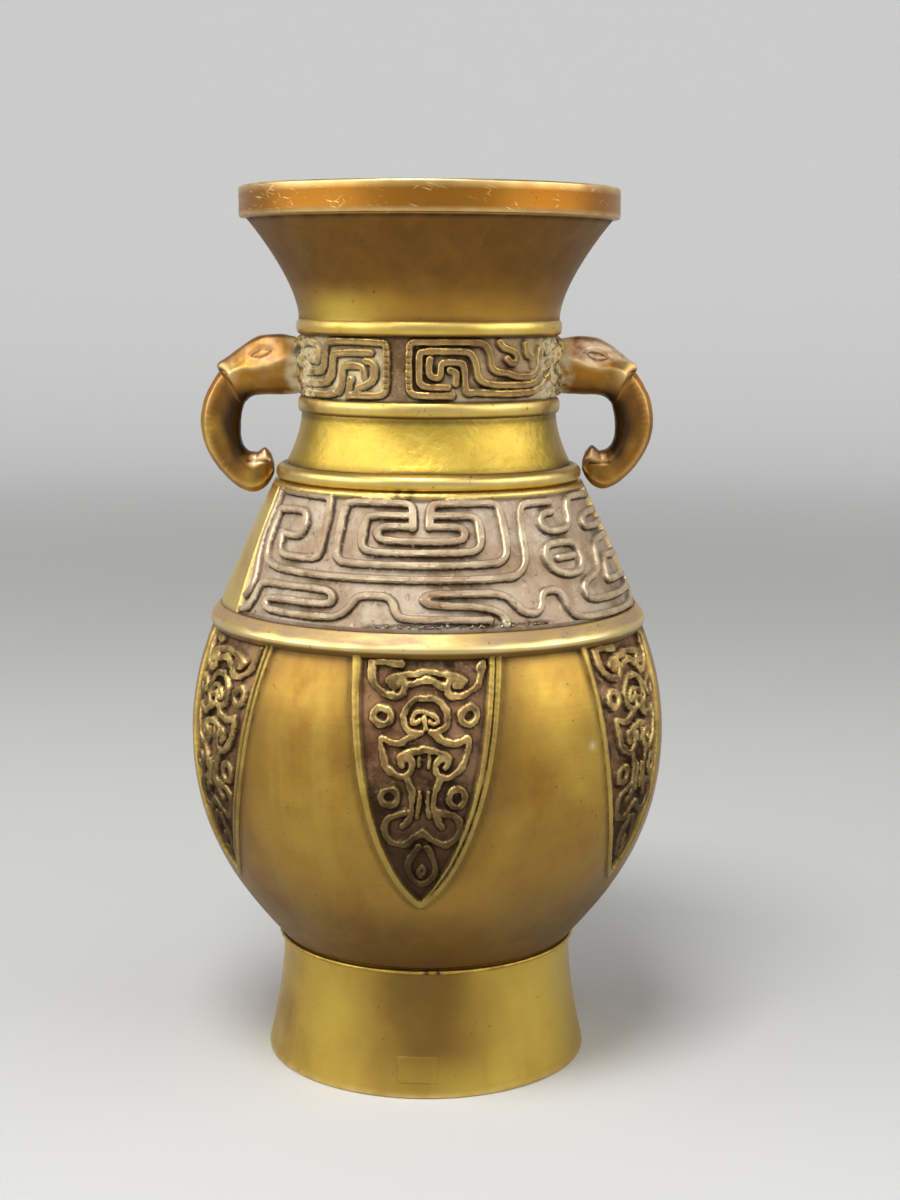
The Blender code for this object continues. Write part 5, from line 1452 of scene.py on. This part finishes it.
def build_solder(name, side):
    """Lumpy collar of crusted solder on the neck round a handle's root."""
    low, high = [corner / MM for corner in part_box(name)]
    columns, rows = 120, 16
    middle_z = (low.z + high.z) / 2
    half_z, half_y = (high.z - low.z) / 2, high.y
    turn = np.linspace(0, math.tau, columns, endpoint=False)[None, :]
    part = np.linspace(0, 1, rows)[:, None]
    power = 2 / 2.5
    z_share = np.sign(np.cos(turn)) * np.abs(np.cos(turn)) ** power
    y_share = np.sign(np.sin(turn)) * np.abs(np.sin(turn)) ** power
    ragged = 1.0 + 0.10 * ripple(turn * 7.0, part * 0.3, 29 + side)
    z = z_share * (half_z * (1 - 0.13 * part))
    y = y_share * (half_y * ragged - (half_y * ragged - 5.3) * part)
    wall = np.sqrt(np.maximum(COLLAR ** 2 - y ** 2, 1.0))
    rise = 0.25 + 1.5 * part ** 1.6
    lumps = np.array([[noise.fractal(Vector((a * 0.55, b * 0.55, 7.0 + side)), 0.8, 2.0, 4)
                       for a, b in zip(row_y, row_z)] for row_y, row_z in zip(y, z)])
    x = wall + rise + 0.60 * lumps * np.sin(math.pi * np.clip(part * 0.8 + 0.15, 0, 1))
    crown = np.stack([side * x, y, middle_z + z], -1)
    root = np.stack([side * (wall - 0.9), y, middle_z + z], -1)
    points = np.concatenate([crown, root[::-1]]).reshape(-1, 3)
    faces = wrapped_faces(2 * rows, columns)
    if side > 0:
        faces = [face[::-1] for face in faces]
    pits = np.clip(-lumps * 2.2 - 0.20, 0, 1)
    shade = np.concatenate([pits, 0 * pits]).ravel()
    add_piece(name + "_crust", points, faces, SOLDER, name, {"shade": shade}, crease=80)


build_mouth()
for ring_node in RING_NODES:
    build_ring(ring_node)
build_neck()
build_shoulder()
build_belly()
build_lappets()
build_foot()
build_seam()
build_patch()
build_base()
for label, side_sign in (("left", -1), ("right", 1)):
    build_handle("elephant_handle_" + label, side_sign)
    build_solder("handle_solder_" + label, side_sign)

# Camera: the photograph's place, pitch and lens for a 900 x 1200 picture
CAMERA_PLACE = (0.0061, -0.53946, 0.21324)    # metres
CAMERA_PITCH = 9.0175
CAMERA_ROLL = 0.35
CAMERA_LENS = 58.79

camera_data = bpy.data.cameras.new("camera")
camera_data.lens = CAMERA_LENS
camera_data.sensor_width = 36.0
camera_data.clip_start = 0.01
camera = bpy.data.objects.new("camera", camera_data)
pitched = Matrix.Rotation(math.radians(90 - CAMERA_PITCH), 4, "X")
rolled = Matrix.Rotation(math.radians(CAMERA_ROLL), 4, "Z")
camera.matrix_world = Matrix.Translation(CAMERA_PLACE) @ pitched @ rolled
bpy.context.scene.collection.objects.link(camera)
bpy.context.scene.camera = camera

# Stage: a pale round floor that curves up into a wall, metres
FLOOR_RADIUS = 2.6
COVE_RADIUS = 0.9
WALL_HEIGHT = 1.6
GLOW_NEAR = 0.5              # where the backdrop's own paleness starts, and where it is full
GLOW_FAR = 2.4
GLOW = 0.48
FLOOR_COLOUR = (0.60, 0.60, 0.59)
GLOW_COLOUR = (0.74, 0.74, 0.74)


def floor_finish():
    """Floor that keeps the vase's shadow, with a far wall that is pale to the camera and in reflections."""
    f = Finish("floor_pale")
    path = f.tree.nodes.new("ShaderNodeLightPath")
    seen = 0.0
    for ray in ("Is Camera Ray", "Is Glossy Ray", "Is Transmission Ray"):
        seen = f.maths("MAXIMUM", path.outputs[ray], seen)
    length = f.tree.nodes.new("ShaderNodeVectorMath")
    length.operation = "LENGTH"
    f.put(f.place, length.inputs[0])
    ramp = f.span(length.outputs["Value"], GLOW_NEAR, GLOW_FAR, 0.0, GLOW, "SMOOTHSTEP")
    f.put(f.times(seen, ramp), f.shader.inputs["Emission Strength"])
    f.put(GLOW_COLOUR, f.shader.inputs["Emission Color"])
    f.put(FLOOR_COLOUR, f.shader.inputs["Base Color"])
    f.put(0.75, f.shader.inputs["Roughness"])
    return f.material


def build_floor():
    """Pale seamless floor and wall all round the vase."""
    cove = [(FLOOR_RADIUS - COVE_RADIUS + COVE_RADIUS * math.sin(a), COVE_RADIUS * (1 - math.cos(a)))
            for a in np.linspace(0, math.pi / 2, 16)]
    line = [(0.3, 0.0), (1.0, 0.0)] + cove + [(FLOOR_RADIUS, COVE_RADIUS + WALL_HEIGHT)]
    columns = 96
    angle = np.linspace(0, math.tau, columns, endpoint=False)
    points = [(0.0, 0.0, 0.0)] + [(r * math.cos(a), r * math.sin(a), z) for r, z in line for a in angle]
    faces = [(0, 1 + j, 1 + (j + 1) % columns) for j in range(columns)]
    for i in range(len(line) - 1):
        for j in range(columns):
            first, second = 1 + i * columns + j, 1 + i * columns + (j + 1) % columns
            faces.append((first, first + columns, second + columns, second))
    mesh = bpy.data.meshes.new("floor")
    mesh.from_pydata(points, [], faces)
    mesh.shade_smooth()
    mesh.materials.append(floor_finish())
    floor = bpy.data.objects.new("floor", mesh)
    bpy.context.scene.collection.objects.link(floor)


# Lamps: place and size in metres, power in watts
LAMP_TARGET = (0.0, 0.0, 0.12)


def add_lamp(name, place, size, power):
    """A soft rectangular lamp that points at the middle of the vase."""
    data = bpy.data.lights.new(name, "AREA")
    data.shape = "RECTANGLE"
    data.size, data.size_y = size
    data.energy = power
    lamp = bpy.data.objects.new(name, data)
    lamp.location = place
    lamp.rotation_euler = (Vector(LAMP_TARGET) - Vector(place)).to_track_quat("-Z", "Y").to_euler()
    bpy.context.scene.collection.objects.link(lamp)


build_floor()
add_lamp("front", (0.0, -1.00, 0.98), (2.0, 0.8), 5.0)
add_lamp("top", (-0.18, -0.50, 1.25), (0.45, 0.35), 11.0)
add_lamp("left", (-1.12, -0.40, 0.68), (1.5, 0.8), 10.8)
add_lamp("right", (1.15, -0.36, 0.68), (1.4, 0.8), 8.8)

world = bpy.data.worlds.new("studio")
world.use_nodes = True
world.node_tree.nodes["Background"].inputs["Color"].default_value = (0.80, 0.80, 0.82, 1.0)
world.node_tree.nodes["Background"].inputs["Strength"].default_value = 0.15
bpy.context.scene.world = world
bpy.context.scene.view_settings.view_transform = "Standard"
